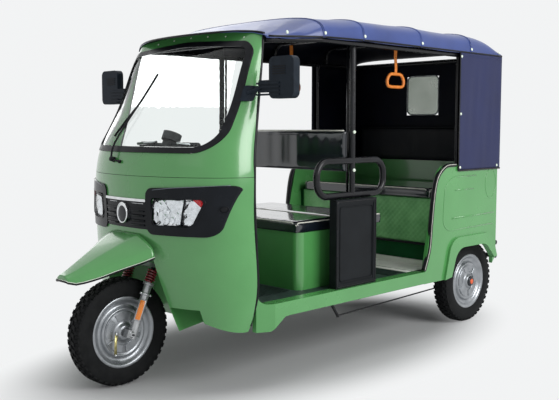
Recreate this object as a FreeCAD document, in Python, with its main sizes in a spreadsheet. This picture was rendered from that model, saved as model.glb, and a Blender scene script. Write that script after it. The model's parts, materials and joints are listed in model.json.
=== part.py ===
import FreeCAD, Part
import Sketcher
import math
import os
from functools import lru_cache
from FreeCAD import Vector, Rotation, Placement

# Electric three-wheeled auto rickshaw, in millimetres, +Z up, front towards -Y, +X the left side.
# The origin lies on the ground in the middle of the outline. Pieces are drawn with Y = 0 at the
# front axle, and each gets the same shift along Y in its Placement.
DRIVING = {
    # Whole vehicle
    "wheelbase": 2207, "front_overhang": 290, "rear_overhang": 273,
    "seat_clearance": 0.3, "cut_overrun": 20, "running_clearance": 6,
    # Wheels and tyres
    "wheel_radius": 250, "tyre_width": 96, "tyre_shoulder_width": 78,
    "bead_radius": 156, "rim_width": 88, "rim_lip_radius": 166, "rim_wall": 5, "rim_well_radius": 140,
    "disc_inset": 18, "drum_radius": 104, "drum_width": 74, "hub_radius": 44,
    "hub_width": 112, "axle_radius": 9, "track": 850,
    # Steering: axis rake, front fork, stem and handlebar, lengths along the steering axis
    "rake_degrees": 22.4, "fork_trail": 14, "fork_spread": 180, "fork_leg_radius": 19,
    "fork_leg_length": 262, "fork_foot_length": 34, "fork_foot_width": 30, "fork_foot_depth": 48,
    "spring_radius": 26, "spring_length": 76, "spring_wire_radius": 5, "spring_turns": 5, "crown_thickness": 16,
    "crown_depth": 46, "crown_overhang": 10, "stem_radius": 16, "stem_length": 542,
    "head_tube_radius": 26, "head_tube_length": 150, "head_tube_rise": 122,
    "bar_radius": 12, "bar_half_width": 220, "bar_forward": 60, "bar_drop": 20, "clamp_radius": 22, "clamp_width": 60,
    "grip_radius": 17, "grip_length": 110, "meter_radius": 45, "meter_depth": 40,
    # Cab nose: half width, foremost and rearmost reach, heights
    "nose_half_width": 540, "nose_front": 40, "nose_rear": 495, "nose_bottom": 270, "cab_seam": 968,
    "cab_top": 1640, "seam_gap": 2, "shell_wall": 4,
    # Windscreen
    "screen_bottom": 1073, "screen_top": 1572, "screen_crown": 24, "screen_half_width": 472,
    "screen_top_half_width": 456, "screen_bottom_radius": 110, "screen_top_radius": 70,
    "gasket_width": 26, "gasket_proud": 5, "gasket_depth": 14, "glass_wall": 5,
    # Lamps, grille and badge, on the nose
    "bezel_inner": 158, "bezel_outer": 536, "bezel_top": 936, "bezel_bottom": 710, "bezel_proud": 7,
    "lens_inner": 190, "lens_outer": 440, "lens_top": 874, "lens_bottom": 752, "lens_proud": 3,
    "lens_slant": 56, "lens_radius": 16, "lamp_depth": 60, "bezel_slant": 56, "bezel_inner_radius": 38, "bezel_outer_radius": 60,
    "grille_top": 866, "grille_bottom": 730, "grille_proud": 3, "bar_height": 9, "bar_gap": 22,
    "strip_height": 12, "strip_proud": 8, "badge_width": 76, "badge_height": 92, "badge_proud": 14,
    # Front wheel arch, toe board, dashboard
    "arch_half_width": 335, "arch_top": 706, "arch_top_half_width": 168, "arch_corner_radius": 80,
    "arch_rear_half_width": 215, "arch_rear_top": 640, "arch_rear_top_half_width": 110, "arch_wall": 4,
    "foot_inner": 240, "foot_high": 380, "foot_outer": 396, "foot_low": 320, "foot_edge": 505,
    "toe_board_back": 334, "toe_board_wall": 4, "dash_top": 1010, "dash_height": 46, "dash_rear": 352,
    # Front fender
    "fender_tip": 290, "fender_rear": 170, "fender_half_width": 285,
    "fender_tip_low": 508, "fender_rear_low": 655, "fender_tip_height": 40, "fender_rear_height": 68,
    "fender_wall": 3,
    # Frame, floor and sills
    "rail_width": 50, "rail_height": 59, "rail_spacing": 500, "rail_bottom": 325, "rail_rear": 2440,
    "cross_member_width": 40, "cross_member_height": 30, "floor_wall": 6, "floor_rear": 2320, "floor_half_width": 499,
    "sill_half_width": 565, "sill_inner": 500, "sill_bottom": 325, "sill_top": 392,
    "sill_wall": 3, "sill_front": 378, "step_bottom": 266, "step_toe": 440, "step_heel": 525, "step_top": 460,
    "step_corner_radius": 45, "step_taper": 80,
    # Driver bench, its lid and backrest
    "bench_front": 745, "bench_rear": 1372, "bench_half_width": 430, "bench_wall": 3, "bench_top": 674,
    "bench_corner_radius": 40, "cushion_front": 727, "cushion_rear": 1400, "cushion_split": 1060,
    "cushion_half_width": 440, "cushion_height": 56,
    "backrest_bottom": 964, "backrest_top": 1174, "backrest_wall": 36,
    # Centre posts, hoops and side boxes
    "post_radius": 15, "post_half_spacing": 500, "post_back": 1062, "hoop_front": 800, "hoop_rear": 1312,
    "hoop_bottom": 848, "hoop_top": 1020, "hoop_radius": 17, "hoop_corner_radius": 74,
    "panel_front": 895, "panel_rear": 1205, "panel_wall": 45, "panel_outer": 545,
    "panel_recess": 3, "panel_border": 22,
    # Rear body, wheel arches, rear seat
    "body_half_width": 562, "body_wall": 22, "body_rear": 2354, "body_top": 972, "body_bottom": 323,
    "body_back_wall": 22, "arm_foot": 1613, "arm_waist": 1687, "arm_top": 1760, "arm_corner_radius": 90,
    "arch_front": 1860, "arch_rear": 2349, "arch_crown": 493, "arch_skirt": 402, "rear_arch_radius": 100,
    "flare_width": 62, "flare_proud": 14,
    "rear_seat_front": 1778, "rear_seat_wall": 4, "rear_seat_top": 785, "rear_cushion_front": 1750,
    "rear_cushion_rear": 2240, "rear_cushion_height": 56, "rear_cushion_half_width": 500,
    "rear_backrest_top": 1190, "rear_backrest_wall": 50, "rear_backrest_half_width": 480,
    "wheelhouse_inner": 330, "wheelhouse_top": 530, "wheelhouse_wall": 3,
    # Canopy frame and cover
    "bow_radius": 11, "rail_radius": 13, "bow_corner_radius": 66, "first_bow": 781, "first_bow_drop": 48,
    "bow_drop": 23, "middle_bow_drop": 23, "bow_spacing": 479, "hem_height": 1608, "canopy_top": 1740,
    "canopy_half_width": 571, "canopy_wall": 5, "canopy_front": 360, "canopy_tip": 477, "canopy_tip_half_width": 480,
    "canopy_rear": 2366, "curtain_front": 1915, "curtain_bottom": 940,
    "window_half_width": 124, "window_bottom": 1267, "window_top": 1520, "window_radius": 34, "window_wall": 2,
    # Axle, springs, motor, battery, bumper, lamps, plate, levers
    "axle_tube_radius": 32, "motor_radius": 95, "motor_length": 230, "spring_leaf_width": 50,
    "spring_pack_height": 30, "spring_half_length": 230, "battery_length": 360, "battery_width": 520,
    "battery_height": 220, "bumper_radius": 14, "bumper_half_width": 500, "bumper_low": 380, "bumper_high": 465,
    "tail_lamp_width": 70, "tail_lamp_height": 150, "tail_lamp_depth": 24, "tail_lamp_offset": 470,
    "plate_width": 260, "plate_height": 130, "plate_wall": 2, "plate_low": 560,
    "plate_hole_radius": 3.5, "plate_hole_spacing": 210,
    "brake_side": 345, "brake_back": 1075, "brake_pivot": 275, "brake_drop": 190, "brake_reach": 62,
    "brake_rod_radius": 4, "brake_bracket": 30, "brake_end": 215,
    # Mirrors and straps
    "mirror_height": 180, "mirror_width": 150, "mirror_wall": 38, "mirror_head_drop": 25, "mirror_inner": 584,
    "mirror_back": 420, "mirror_corner_radius": 28, "mirror_arm_radius": 8, "mirror_pad_width": 26, "mirror_pad_inner": 465,
    "mirror_pad_height": 70, "mirror_arm_height": 1335,
    "strap_width": 26, "strap_wall": 3, "strap_half_spacing": 400,
    "strap_ring_top": 1476, "strap_ring_bottom": 1406, "strap_ring_width": 150, "strap_ring_radius": 9,
}

# The nose from its lower edge to the cab's top: height, half width, front reach and rear reach as
# shares of their sizes, and the roundness of each level's outline (2 is an ellipse).
NOSE_SHARES = (
    (0.0, 0.926, 0.176, 0.681, 2.2), (0.131, 0.991, 0.077, 0.738, 2.2), (0.277, 1.0, 0.022, 0.714, 2.1),
    (0.423, 1.0, 0.0, 0.692, 2.05), (0.533, 0.991, 0.011, 0.703, 2.0), (0.591, 0.972, 0.055, 0.725, 2.0),
    (0.679, 0.941, 0.231, 0.787, 2.05), (0.825, 0.902, 0.538, 0.879, 2.2), (0.949, 0.867, 0.802, 0.956, 2.5),
    (1.0, 0.853, 0.908, 0.989, 2.55),
)
# The canopy from front to rear: place, half width, drop of the hem and drop of the roof as shares,
# and how far each arch fills its corners (0.55 is an ellipse).
CANOPY_SHARES = (
    (0.0, 0.84, 0.16, 0.9, 0.55), (0.07, 0.876, 0.13, 0.66, 0.62), (0.15, 0.937, 0.08, 0.36, 0.74),
    (0.22, 0.99, 0.04, 0.14, 0.86), (0.4, 1.0, 0.0, 0.03, 0.94), (0.6, 1.0, 0.0, 0.0, 0.94),
    (0.78, 1.0, 0.0, 0.02, 0.94), (0.923, 1.0, 0.0, 0.1, 0.94), (1.0, 1.0, 0.0, 0.74, 0.9),
)
# The front fender from its tip back: place, half width, low edge and height as shares.
FENDER_SHARES = (
    (0.0, 0.14, 0.1, 0.22), (0.04, 0.2, 0.02, 0.36), (0.14, 0.28, 0.04, 0.54), (0.36, 0.44, 0.24, 0.76),
    (0.63, 0.7, 0.56, 0.9), (0.8, 0.86, 0.78, 0.96), (1.0, 1.0, 1.0, 1.0),
)
# Half of the fender's cross section: half width and height as shares.
FENDER_EDGE_SHARES = ((1.0, 0.0), (1.0, 0.34), (0.74, 0.82), (0.4, 1.0))


class Size(float):
    """A length with the spreadsheet expression that it comes from."""

    def __new__(cls, value, text):
        size = super().__new__(cls, value)
        size.text = text
        return size

    def __add__(self, other):
        return joined(self, "+", other, float(self) + float(other))

    def __radd__(self, other):
        return joined(other, "+", self, float(other) + float(self))

    def __sub__(self, other):
        return joined(self, "-", other, float(self) - float(other))

    def __rsub__(self, other):
        return joined(other, "-", self, float(other) - float(self))

    def __mul__(self, other):
        return joined(self, "*", other, float(self) * float(other))

    def __rmul__(self, other):
        return joined(other, "*", self, float(other) * float(self))

    def __truediv__(self, other):
        return joined(self, "/", other, float(self) / float(other))

    def __neg__(self):
        return Size(-float(self), "(-1*" + self.text + ")")


def written(value):
    return value.text if isinstance(value, Size) else repr(float(value))


def joined(first, sign, second, value):
    return Size(value, "(" + written(first) + sign + written(second) + ")")


class Sizes:
    """The driving dimensions, read back from the sheet."""


doc = FreeCAD.newDocument("AutoRickshaw")
sheet = doc.addObject("Spreadsheet::Sheet", "Sheet")
for row, (alias, number) in enumerate(DRIVING.items(), 1):
    sheet.set("A" + str(row), alias)
    sheet.set("B" + str(row), str(number))
    sheet.setAlias("B" + str(row), alias)
doc.recompute()
size = Sizes()
for alias in DRIVING:
    setattr(size, alias, Size(float(sheet.get(alias)), "Sheet." + alias))

parts = []
UP = Vector(0, 0, 1)
BACK = Vector(0, 1, 0)
LEFTWARD = Vector(1, 0, 0)
front_axle = size.front_overhang - (size.front_overhang + size.wheelbase + size.rear_overhang) / 2
gap = size.seat_clearance
over = size.cut_overrun
rake = math.radians(size.rake_degrees)


def bind(item, **values):
    for name, value in values.items():
        item.setExpression(name, written(value))


def place(item, x=0, y=0, z=0):
    for axis, value in zip("xyz", (x, y, z)):
        item.setExpression("Placement.Base." + axis, written(value))


def finish(item, label, x=0, y=0, z=0):
    """Name a finished sub-part and move it from the front axle's frame to the vehicle's."""
    place(item, x, front_axle + y, z)
    item.Label = label
    parts.append(item)
    return item


def box(name, x_pair, y_pair, z_pair):
    item = doc.addObject("Part::Box", name)
    bind(item, Length=x_pair[1] - x_pair[0], Width=y_pair[1] - y_pair[0], Height=z_pair[1] - z_pair[0])
    place(item, x_pair[0], y_pair[0], z_pair[0])
    return item


def rod(name, radius, length, start, direction):
    item = doc.addObject("Part::Cylinder", name)
    item.Placement = Placement(Vector(), Rotation(UP, direction))
    bind(item, Radius=radius, Height=length)
    place(item, *start)
    return item


def fused(name, items):
    item = doc.addObject("Part::MultiFuse", name)
    item.Shapes = items
    return item


def cut(name, base, tool):
    item = doc.addObject("Part::Cut", name)
    item.Base = base
    item.Tool = tool
    return item


def grouped(name, items):
    item = doc.addObject("Part::Compound", name)
    item.Links = items
    return item


def feature(name, shape):
    item = doc.addObject("Part::Feature", name)
    item.Shape = shape
    return item


def sides(low, high):
    """The same span on the left side and on the right side."""
    return (("left", low, high), ("right", -high, -low))


def plane_of(body, role):
    return next(plane for plane in body.Origin.OriginFeatures if plane.Role == role)


def drawn_outline(body, role, offset, corners):
    """A closed outline on one of the body's own planes, each corner bound to its sizes."""
    sketch = body.newObject("Sketcher::SketchObject", body.Name + "Outline")
    sketch.AttachmentSupport = (plane_of(body, role), [""])
    sketch.MapMode = "FlatFace"
    sketch.setExpression("AttachmentOffset.Base.z", written(offset))
    count = len(corners)
    for index in range(count):
        first = Vector(corners[index][0], corners[index][1], 0)
        second = Vector(corners[(index + 1) % count][0], corners[(index + 1) % count][1], 0)
        sketch.addGeometry(Part.LineSegment(first, second), False)
    for index in range(count):
        sketch.addConstraint(Sketcher.Constraint("Coincident", index, 2, (index + 1) % count, 1))
    for index in range(count):
        for kind, value in zip(("DistanceX", "DistanceY"), corners[index][:2]):
            if isinstance(value, Size):
                number = sketch.addConstraint(Sketcher.Constraint(kind, -1, 1, index, 1, float(value)))
                sketch.setExpression("Constraints[" + str(number) + "]", value.text)
            else:
                onto = -2 if kind == "DistanceX" else -1
                sketch.addConstraint(Sketcher.Constraint("PointOnObject", index, 1, onto))
    return sketch


def rounded(body, made, chosen):
    """Fillets on the made feature: chosen gives a radius and a test for the edges that take it."""
    last = made
    doc.recompute()
    for radius, test in chosen:
        edges = ["Edge" + str(n) for n, edge in enumerate(last.Shape.Edges, 1) if test(edge)]
        fillet = body.newObject("PartDesign::Fillet", body.Name + "Round")
        fillet.Base = (last, edges)
        fillet.setExpression("Radius", written(radius))
        doc.recompute()
        last = fillet
    return body


def near(first, second):
    return abs(first - second) < 0.01


def padded(name, role, offset, length, corners, backwards=False):
    """A plate: an outline of corners (u, v, radius) padded by a length from an offset."""
    body = doc.addObject("PartDesign::Body", name)
    sketch = drawn_outline(body, role, offset, corners)
    pad = body.newObject("PartDesign::Pad", name + "Pad")
    pad.Profile = sketch
    pad.setExpression("Length", written(length))
    pad.Reversed = backwards
    pick = {"XY_Plane": (0, 1, 2), "XZ_Plane": (0, 2, 1), "YZ_Plane": (1, 2, 0)}[role]
    radii = []
    for radius in [corner[2] for corner in corners if len(corner) == 3]:
        if radius not in radii:
            radii.append(radius)

    def test_for(radius):
        spots = [corner[:2] for corner in corners if len(corner) == 3 and corner[2] == radius]

        def test(edge):
            ends = [vertex.Point for vertex in edge.Vertexes]
            if len(ends) != 2 or near(ends[0][pick[2]], ends[1][pick[2]]):
                return False
            return any(near(end[pick[0]], spot[0]) and near(end[pick[1]], spot[1])
                       for spot in spots for end in ends[:1])
        return test

    return rounded(body, pad, [(radius, test_for(radius)) for radius in radii])


def turned(name, corners):
    """A body of revolution about its own X axis: an outline of corners (x, radius, rounding)."""
    body = doc.addObject("PartDesign::Body", name)
    sketch = drawn_outline(body, "XY_Plane", 0, corners)
    turn = body.newObject("PartDesign::Revolution", name + "Turn")
    turn.Profile = sketch
    turn.ReferenceAxis = (sketch, ["H_Axis"])
    turn.Angle = 360
    radii = []
    for rounding in [corner[2] for corner in corners if len(corner) == 3]:
        if rounding not in radii:
            radii.append(rounding)

    def test_for(rounding):
        spots = [corner[:2] for corner in corners if len(corner) == 3 and corner[2] == rounding]

        def test(edge):
            curve = edge.Curve
            return isinstance(curve, Part.Circle) and any(
                near(curve.Radius, spot[1]) and near(curve.Center.x, spot[0]) for spot in spots)
        return test

    return rounded(body, turn, [(rounding, test_for(rounding)) for rounding in radii])


def bent_tube(points, tube_radius, bend_radius, closed=False):
    """A round bar along straight runs through the points, with bends of one radius."""
    points = [Vector(*point) for point in points]
    count = len(points)
    bends = {}
    for index in range(count) if closed else range(1, count - 1):
        before = (points[index - 1] - points[index]).normalize()
        after = (points[(index + 1) % count] - points[index]).normalize()
        half = before.getAngle(after) / 2
        centre = points[index] + (before + after).normalize() * (float(bend_radius) / math.sin(half))
        reach = float(bend_radius) / math.tan(half)
        bends[index] = (reach, centre, after.cross(before), 180 - math.degrees(2 * half), after)
    spot = points[0]
    if closed:
        spot = spot + bends[0][4] * bends[0][0]
    face = Part.Face(Part.Wire(Part.makeCircle(tube_radius, spot, points[1] - points[0])))
    solids = []
    for index in range(count if closed else count - 1):
        following = (index + 1) % count
        end = points[following]
        if following in bends:
            end = end - (end - points[index]).normalize() * bends[following][0]
        solids.append(face.extrude(end - spot))
        face = face.translated(end - spot)
        spot = end
        if following in bends:
            reach, centre, axis, angle, after = bends[following]
            solids.append(face.revolve(centre, axis, angle))
            face = face.rotated(centre, axis, angle)
            spot = points[following] + after * reach
    return solids[0].fuse(solids[1:]).removeSplitter()


def front_wire(corners, at):
    """A closed outline with rounded corners (x, z, radius) in the plane Y = at."""
    flat = [(corner[0], at, corner[1]) for corner in corners]
    edges = []
    count = len(flat)
    points = [Vector(*point) for point in flat]
    tips = []
    for index in range(count):
        radius = corners[index][2]
        before = (points[index - 1] - points[index]).normalize()
        after = (points[(index + 1) % count] - points[index]).normalize()
        half = before.getAngle(after) / 2
        reach = radius / math.tan(half)
        centre = points[index] + (before + after).normalize() * (radius / math.sin(half))
        middle = centre + (points[index] - centre).normalize() * radius
        tips.append((points[index] + before * reach, middle, points[index] + after * reach))
    for index in range(count):
        edges.append(Part.Arc(*tips[index]).toShape())
        edges.append(Part.makeLine(tips[index][2], tips[(index + 1) % count][0]))
    return Part.Wire(edges)


def front_prism(corners, inset=0):
    """A prism along the vehicle that runs right through the cab's front."""
    wire = front_wire(corners, size.nose_front - 3 * over)
    if inset:
        wire = wire.makeOffset2D(-float(inset))
    return Part.Face(wire).extrude(BACK * float(size.nose_rear - size.nose_front + 6 * over))


def mirrored(corners):
    return [(-corner[0], corner[1], corner[2]) for corner in reversed(corners)]


def arch_curve(half_width, height, squareness, low, at, swap, steps=8):
    """A smooth arch of points: superellipse over a half turn, placed by the swap function."""
    points = []
    for step in range(steps + 1):
        angle = math.pi * step / steps
        across = math.copysign(abs(math.cos(angle)) ** (2 / squareness), math.cos(angle)) * half_width
        along = abs(math.sin(angle)) ** (2 / squareness) * height
        points.append(swap(across, along, low, at))
    curve = Part.BSplineCurve()
    curve.interpolate(points)
    return curve.toShape()


def corner_curve(first, first_pull, second_pull, second):
    curve = Part.BezierCurve()
    curve.setPoles([first, first_pull, second_pull, second])
    return curve.toShape()


@lru_cache(maxsize=None)
def nose_solid(grow=0, behind=0):
    """The cab's outside, grown outwards by a distance, and longer behind by another."""
    wires = []
    for height_share, width_share, front_share, rear_share, roundness in NOSE_SHARES:
        height = size.nose_bottom + (size.cab_top - size.nose_bottom) * height_share
        width = size.nose_half_width * width_share + grow
        front = size.nose_front + (size.nose_rear - size.nose_front) * front_share - grow
        rear = size.nose_front + (size.nose_rear - size.nose_front) * rear_share
        curve = arch_curve(float(width), float(rear - front), roundness, float(rear), float(height),
                           lambda across, along, low, at: Vector(across, low - along, at))
        ends = [Vector(-width, rear, height), Vector(width, rear, height)]
        if behind:
            ends = [ends[0], ends[0] + BACK * float(behind), ends[1] + BACK * float(behind), ends[1]]
        lines = [Part.makeLine(first, last) for first, last in zip(ends, ends[1:])]
        wires.append(Part.Wire([curve] + lines))
    return Part.makeLoft(wires, True, False, False, 3)


@lru_cache(maxsize=None)
def canopy_solid(grow=0, below=0):
    """The canopy's outside from hem to roof, grown by a distance, and deeper below by another."""
    wires = []
    length = size.canopy_rear - size.canopy_front
    height = size.canopy_top - size.hem_height
    last_share = CANOPY_SHARES[-1][0]
    for place_share, width_share, hem_share, roof_share, fill_share in CANOPY_SHARES:
        at = size.canopy_front + length * place_share
        if grow and place_share == last_share:
            at = at + grow
        if grow and place_share == 0:
            at = at + grow * 4
        width = size.canopy_half_width * width_share + grow
        hem = size.hem_height - height * hem_share
        roof = size.canopy_top - height * roof_share + grow
        crown = Vector(0, at, roof)
        curves = [
            corner_curve(Vector(width, at, hem), Vector(width, at, hem + (roof - hem) * fill_share),
                         Vector(width * fill_share, at, roof), crown),
            corner_curve(crown, Vector(-width * fill_share, at, roof),
                         Vector(-width, at, hem + (roof - hem) * fill_share), Vector(-width, at, hem))]
        ends = [Vector(-width, at, hem), Vector(width, at, hem)]
        if below:
            ends = [ends[0], ends[0] - UP * float(below), ends[1] - UP * float(below), ends[1]]
        lines = [Part.makeLine(first, last) for first, last in zip(ends, ends[1:])]
        wires.append(Part.Wire(curves + lines))
    return Part.makeLoft(wires, True, False, False, 3)


# Wheels: tyre and rim turned about the axle, alike on all three corners.
def tyre(name, label, x, y):
    half = size.tyre_width / 2
    shoulder = size.tyre_shoulder_width / 2
    seat = size.rim_width / 2 - 2 * size.rim_wall - gap
    belly = (size.bead_radius + size.wheel_radius) / 2
    body = turned(name, [
        (-seat, size.bead_radius + gap), (seat, size.bead_radius + gap), (half, belly),
        (shoulder, size.wheel_radius), (-shoulder, size.wheel_radius), (-half, belly)])
    return finish(body, label, x, y, size.wheel_radius)


def rim(name, label, x, y):
    lip = size.rim_width / 2
    wall = size.rim_wall
    bore = size.axle_radius + gap
    disc = lip - size.disc_inset
    body = turned(name, [
        (-lip, size.rim_lip_radius), (-lip + wall, size.rim_lip_radius), (-lip + wall, size.bead_radius),
        (lip - wall, size.bead_radius), (lip - wall, size.rim_lip_radius), (lip, size.rim_lip_radius),
        (lip, size.bead_radius - wall), (disc, size.rim_well_radius), (disc - wall, size.drum_radius + wall),
        (size.drum_width / 2, size.drum_radius), (size.drum_width / 2, size.hub_radius),
        (size.hub_width / 2, size.hub_radius - 2 * wall), (size.hub_width / 2, bore),
        (-size.hub_width / 2, bore), (-size.hub_width / 2, size.hub_radius - 2 * wall),
        (-size.drum_width / 2, size.hub_radius), (-size.drum_width / 2, size.drum_radius),
        (wall - disc, size.drum_radius + wall), (-disc, size.rim_well_radius), (-lip, size.bead_radius - wall)])
    return finish(body, label, x, y, size.wheel_radius)


tyre("FrontTyre", "front_tyre", 0, 0)
rim("FrontRim", "front_rim", 0, 0)
for side, sign in (("left", 1), ("right", -1)):
    tyre("RearTyre" + side, "rear_tyre_" + side, size.track / 2 * sign, size.wheelbase)
    rim("RearRim" + side, "rear_rim_" + side, size.track / 2 * sign, size.wheelbase)


# Front fork, drawn upright along the steering axis and then raked back. The axle lies ahead of it.
rake_cosine = Size(math.cos(rake), "cos(Sheet.rake_degrees)")
rake_sine = Size(math.sin(rake), "sin(Sheet.rake_degrees)")
raked = Rotation(LEFTWARD, -float(size.rake_degrees))
leg_x = size.fork_spread / 2
foot_low = -size.fork_foot_length / 2
leg_top = foot_low + size.fork_leg_length
crown_low = leg_top + size.spring_length
crown_high = crown_low + size.crown_thickness
stem_top = crown_high + size.stem_length


def raked_part(item, label):
    item.Placement = Placement(Vector(), raked)
    steering_y = size.fork_trail * rake_cosine
    return finish(item, label, 0, steering_y, size.wheel_radius - size.fork_trail * rake_sine)


def fork():
    crown_half = leg_x + size.crown_overhang
    foot_half = size.fork_foot_width / 2
    pieces = [
        box("ForkCrown", (-crown_half, crown_half), (-size.crown_depth / 2, size.crown_depth / 2),
            (crown_low, crown_high)),
        rod("ForkStem", size.stem_radius, size.stem_length, (0, 0, crown_high), UP)]
    for side, sign in (("Left", 1), ("Right", -1)):
        middle = leg_x * sign
        pieces += [
            rod("ForkLeg" + side, size.fork_leg_radius, size.fork_leg_length, (middle, 0, foot_low), UP),
            rod("ForkTube" + side, size.fork_leg_radius / 2, size.spring_length, (middle, 0, leg_top), UP),
            box("ForkFoot" + side, (middle - foot_half, middle + foot_half),
                (-size.fork_trail - size.fork_foot_depth / 2, size.fork_foot_depth / 2 - size.fork_trail),
                (foot_low, foot_low + size.fork_foot_length))]
    pieces.append(rod("ForkAxle", size.axle_radius, 2 * (leg_x + foot_half),
                      (-leg_x - foot_half, -size.fork_trail, 0), LEFTWARD))
    return raked_part(fused("Fork", pieces), "fork")


def fork_springs():
    """Each coil is a ridge of one sleeve round its fork tube."""
    bore = size.fork_leg_radius / 2 + gap
    valley = size.spring_radius - 2 * size.spring_wire_radius
    low = leg_top + gap
    pitch = (size.spring_length - 2 * gap) / size.spring_turns
    profile = [Vector(bore, 0, low)]
    for turn in range(int(size.spring_turns)):
        coil = low + pitch * turn
        profile += [Vector(valley, 0, coil), Vector(size.spring_radius, 0, coil + pitch / 4),
                    Vector(size.spring_radius, 0, coil + pitch * 3 / 4)]
    high = low + pitch * int(size.spring_turns)
    profile += [Vector(valley, 0, high), Vector(bore, 0, high), profile[0]]
    sleeve = Part.Face(Part.makePolygon(profile)).revolve(Vector(), UP, 360)
    sleeves = [sleeve.translated(LEFTWARD * float(leg_x * sign)) for sign in (1, -1)]
    return raked_part(feature("ForkSprings", Part.makeCompound(sleeves)), "fork_springs")


def handlebar():
    forward = -size.bar_forward
    height = stem_top + size.bar_drop
    half = size.bar_half_width
    clamp = size.clamp_width / 2
    pieces = [
        rod("BarTube", size.bar_radius, 2 * half, (-half, forward, height), LEFTWARD),
        box("BarClamp", (-clamp, clamp), (forward - size.clamp_radius, size.clamp_radius),
            (stem_top + gap, height + size.clamp_radius)),
        rod("MeterPod", size.meter_radius, size.meter_depth, (0, forward, height + size.clamp_radius), UP)]
    for side, sign in (("Left", half - size.grip_length), ("Right", -half)):
        pieces.append(rod("Grip" + side, size.grip_radius, size.grip_length, (sign, forward, height), LEFTWARD))
    return raked_part(fused("Handlebar", pieces), "handlebar")


fork()
fork_springs()
handlebar()

# Cab: one curved shell split at its seam into the nose and the windscreen frame.
wall = size.shell_wall
nose_outside = nose_solid()
nose_inside = nose_solid(-wall, 2 * over)
nose_clear = nose_solid(-wall - gap, 2 * over)
wide = 2 * size.nose_half_width
long_way = size.nose_rear + size.front_overhang
screen_outline = [
    (-size.screen_half_width, size.screen_bottom, size.screen_bottom_radius),
    (size.screen_half_width, size.screen_bottom, size.screen_bottom_radius),
    (size.screen_top_half_width, size.screen_top, size.screen_top_radius),
    (0, size.screen_top + size.screen_crown, 10 * size.screen_top_radius),
    (-size.screen_top_half_width, size.screen_top, size.screen_top_radius)]
bezel_outline = [
    (size.bezel_inner, size.bezel_bottom, size.bezel_inner_radius),
    (size.bezel_outer - size.bezel_slant, size.bezel_bottom, size.bezel_outer_radius),
    (size.bezel_outer, size.bezel_top, size.bezel_inner_radius / 2),
    (size.bezel_inner, size.bezel_top - size.bezel_inner_radius / 2, size.bezel_inner_radius)]
lens_outline = [
    (size.lens_inner, size.lens_bottom, size.lens_radius),
    (size.lens_outer - size.lens_slant, size.lens_bottom, 2 * size.lens_radius),
    (size.lens_outer, size.lens_top, size.lens_radius), (size.lens_inner, size.lens_top, size.lens_radius)]
front_arch_outline = [
    (-size.arch_half_width, size.nose_bottom - 2 * over, size.arch_wall),
    (size.arch_half_width, size.nose_bottom - 2 * over, size.arch_wall),
    (size.arch_top_half_width, size.arch_top, size.arch_corner_radius),
    (-size.arch_top_half_width, size.arch_top, size.arch_corner_radius)]
rear_arch_outline = [
    (-size.arch_rear_half_width, size.nose_bottom - 2 * over, size.arch_wall),
    (size.arch_rear_half_width, size.nose_bottom - 2 * over, size.arch_wall),
    (size.arch_rear_top_half_width, size.arch_rear_top, size.arch_corner_radius),
    (-size.arch_rear_top_half_width, size.arch_rear_top, size.arch_corner_radius)]


def arch_tunnel(shrink=0):
    """The wheel's recess in the nose, narrowing backwards, shrunk inwards by a length."""
    front = front_wire(front_arch_outline, -float(over))
    rear = front_wire(rear_arch_outline, float(size.toe_board_back))
    if shrink:
        front = front.makeOffset2D(-float(shrink))
        rear = rear.makeOffset2D(-float(shrink))
    return Part.makeLoft([front, rear], True, True)


def steering_bore(radius):
    start = Vector(0, size.fork_trail * rake_cosine, size.wheel_radius - size.fork_trail * rake_sine)
    direction = Vector(0, rake_sine, rake_cosine)
    return Part.makeCylinder(radius, float(stem_top + over), start, direction)


def slab(low, high):
    """A level slice that is wider and longer than the cab."""
    return Part.makeBox(2 * wide, 2 * long_way, high - low, Vector(-wide, -long_way, low))


def nose_panel():
    """The lower skin. Its bottom edge steps out beside the recess and falls away outwards."""
    shell = nose_outside.cut(nose_inside).common(slab(size.nose_bottom - over, size.cab_seam - size.seam_gap / 2))
    below = size.nose_bottom - 2 * over
    corner = size.arch_wall
    foot_outline = [
        (size.foot_inner, below, corner), (size.foot_edge, below, corner),
        (size.foot_edge, size.nose_bottom, corner), (size.foot_outer, size.foot_low, corner),
        (size.foot_outer - 2 * corner, size.foot_high, corner), (size.foot_inner, size.foot_high, corner)]
    for turn in (lambda outline: outline, mirrored):
        shell = shell.cut(front_prism(turn(lens_outline), -gap)).cut(front_prism(turn(foot_outline)))
    return finish(feature("NosePanel", shell.cut(arch_tunnel())), "nose_panel")


def windscreen_frame():
    shell = nose_outside.cut(nose_inside).common(slab(size.cab_seam + size.seam_gap / 2, size.cab_top + over))
    shell = shell.cut(front_prism(screen_outline))
    above = slab(size.screen_top, size.cab_top + over).cut(canopy_solid(-size.canopy_wall - gap, 10 * over))
    return finish(feature("WindscreenFrame", shell.cut(above)), "windscreen_frame")


def layer(outward, inward, prism):
    """The piece of a prism between two distances from the nose's surface, outwards positive."""
    return prism.common(nose_solid(outward, over)).cut(nose_solid(inward, 2 * over))


def screen():
    opening = front_prism(screen_outline, gap)
    inner = front_prism(screen_outline, size.gasket_width)
    ring = layer(size.gasket_proud, -size.gasket_depth, opening.cut(inner))
    finish(feature("ScreenGasket", ring), "screen_gasket")
    glass = layer(-size.glass_wall, -2 * size.glass_wall, front_prism(screen_outline, size.gasket_width + gap))
    finish(feature("Windscreen", glass), "windscreen")


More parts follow.
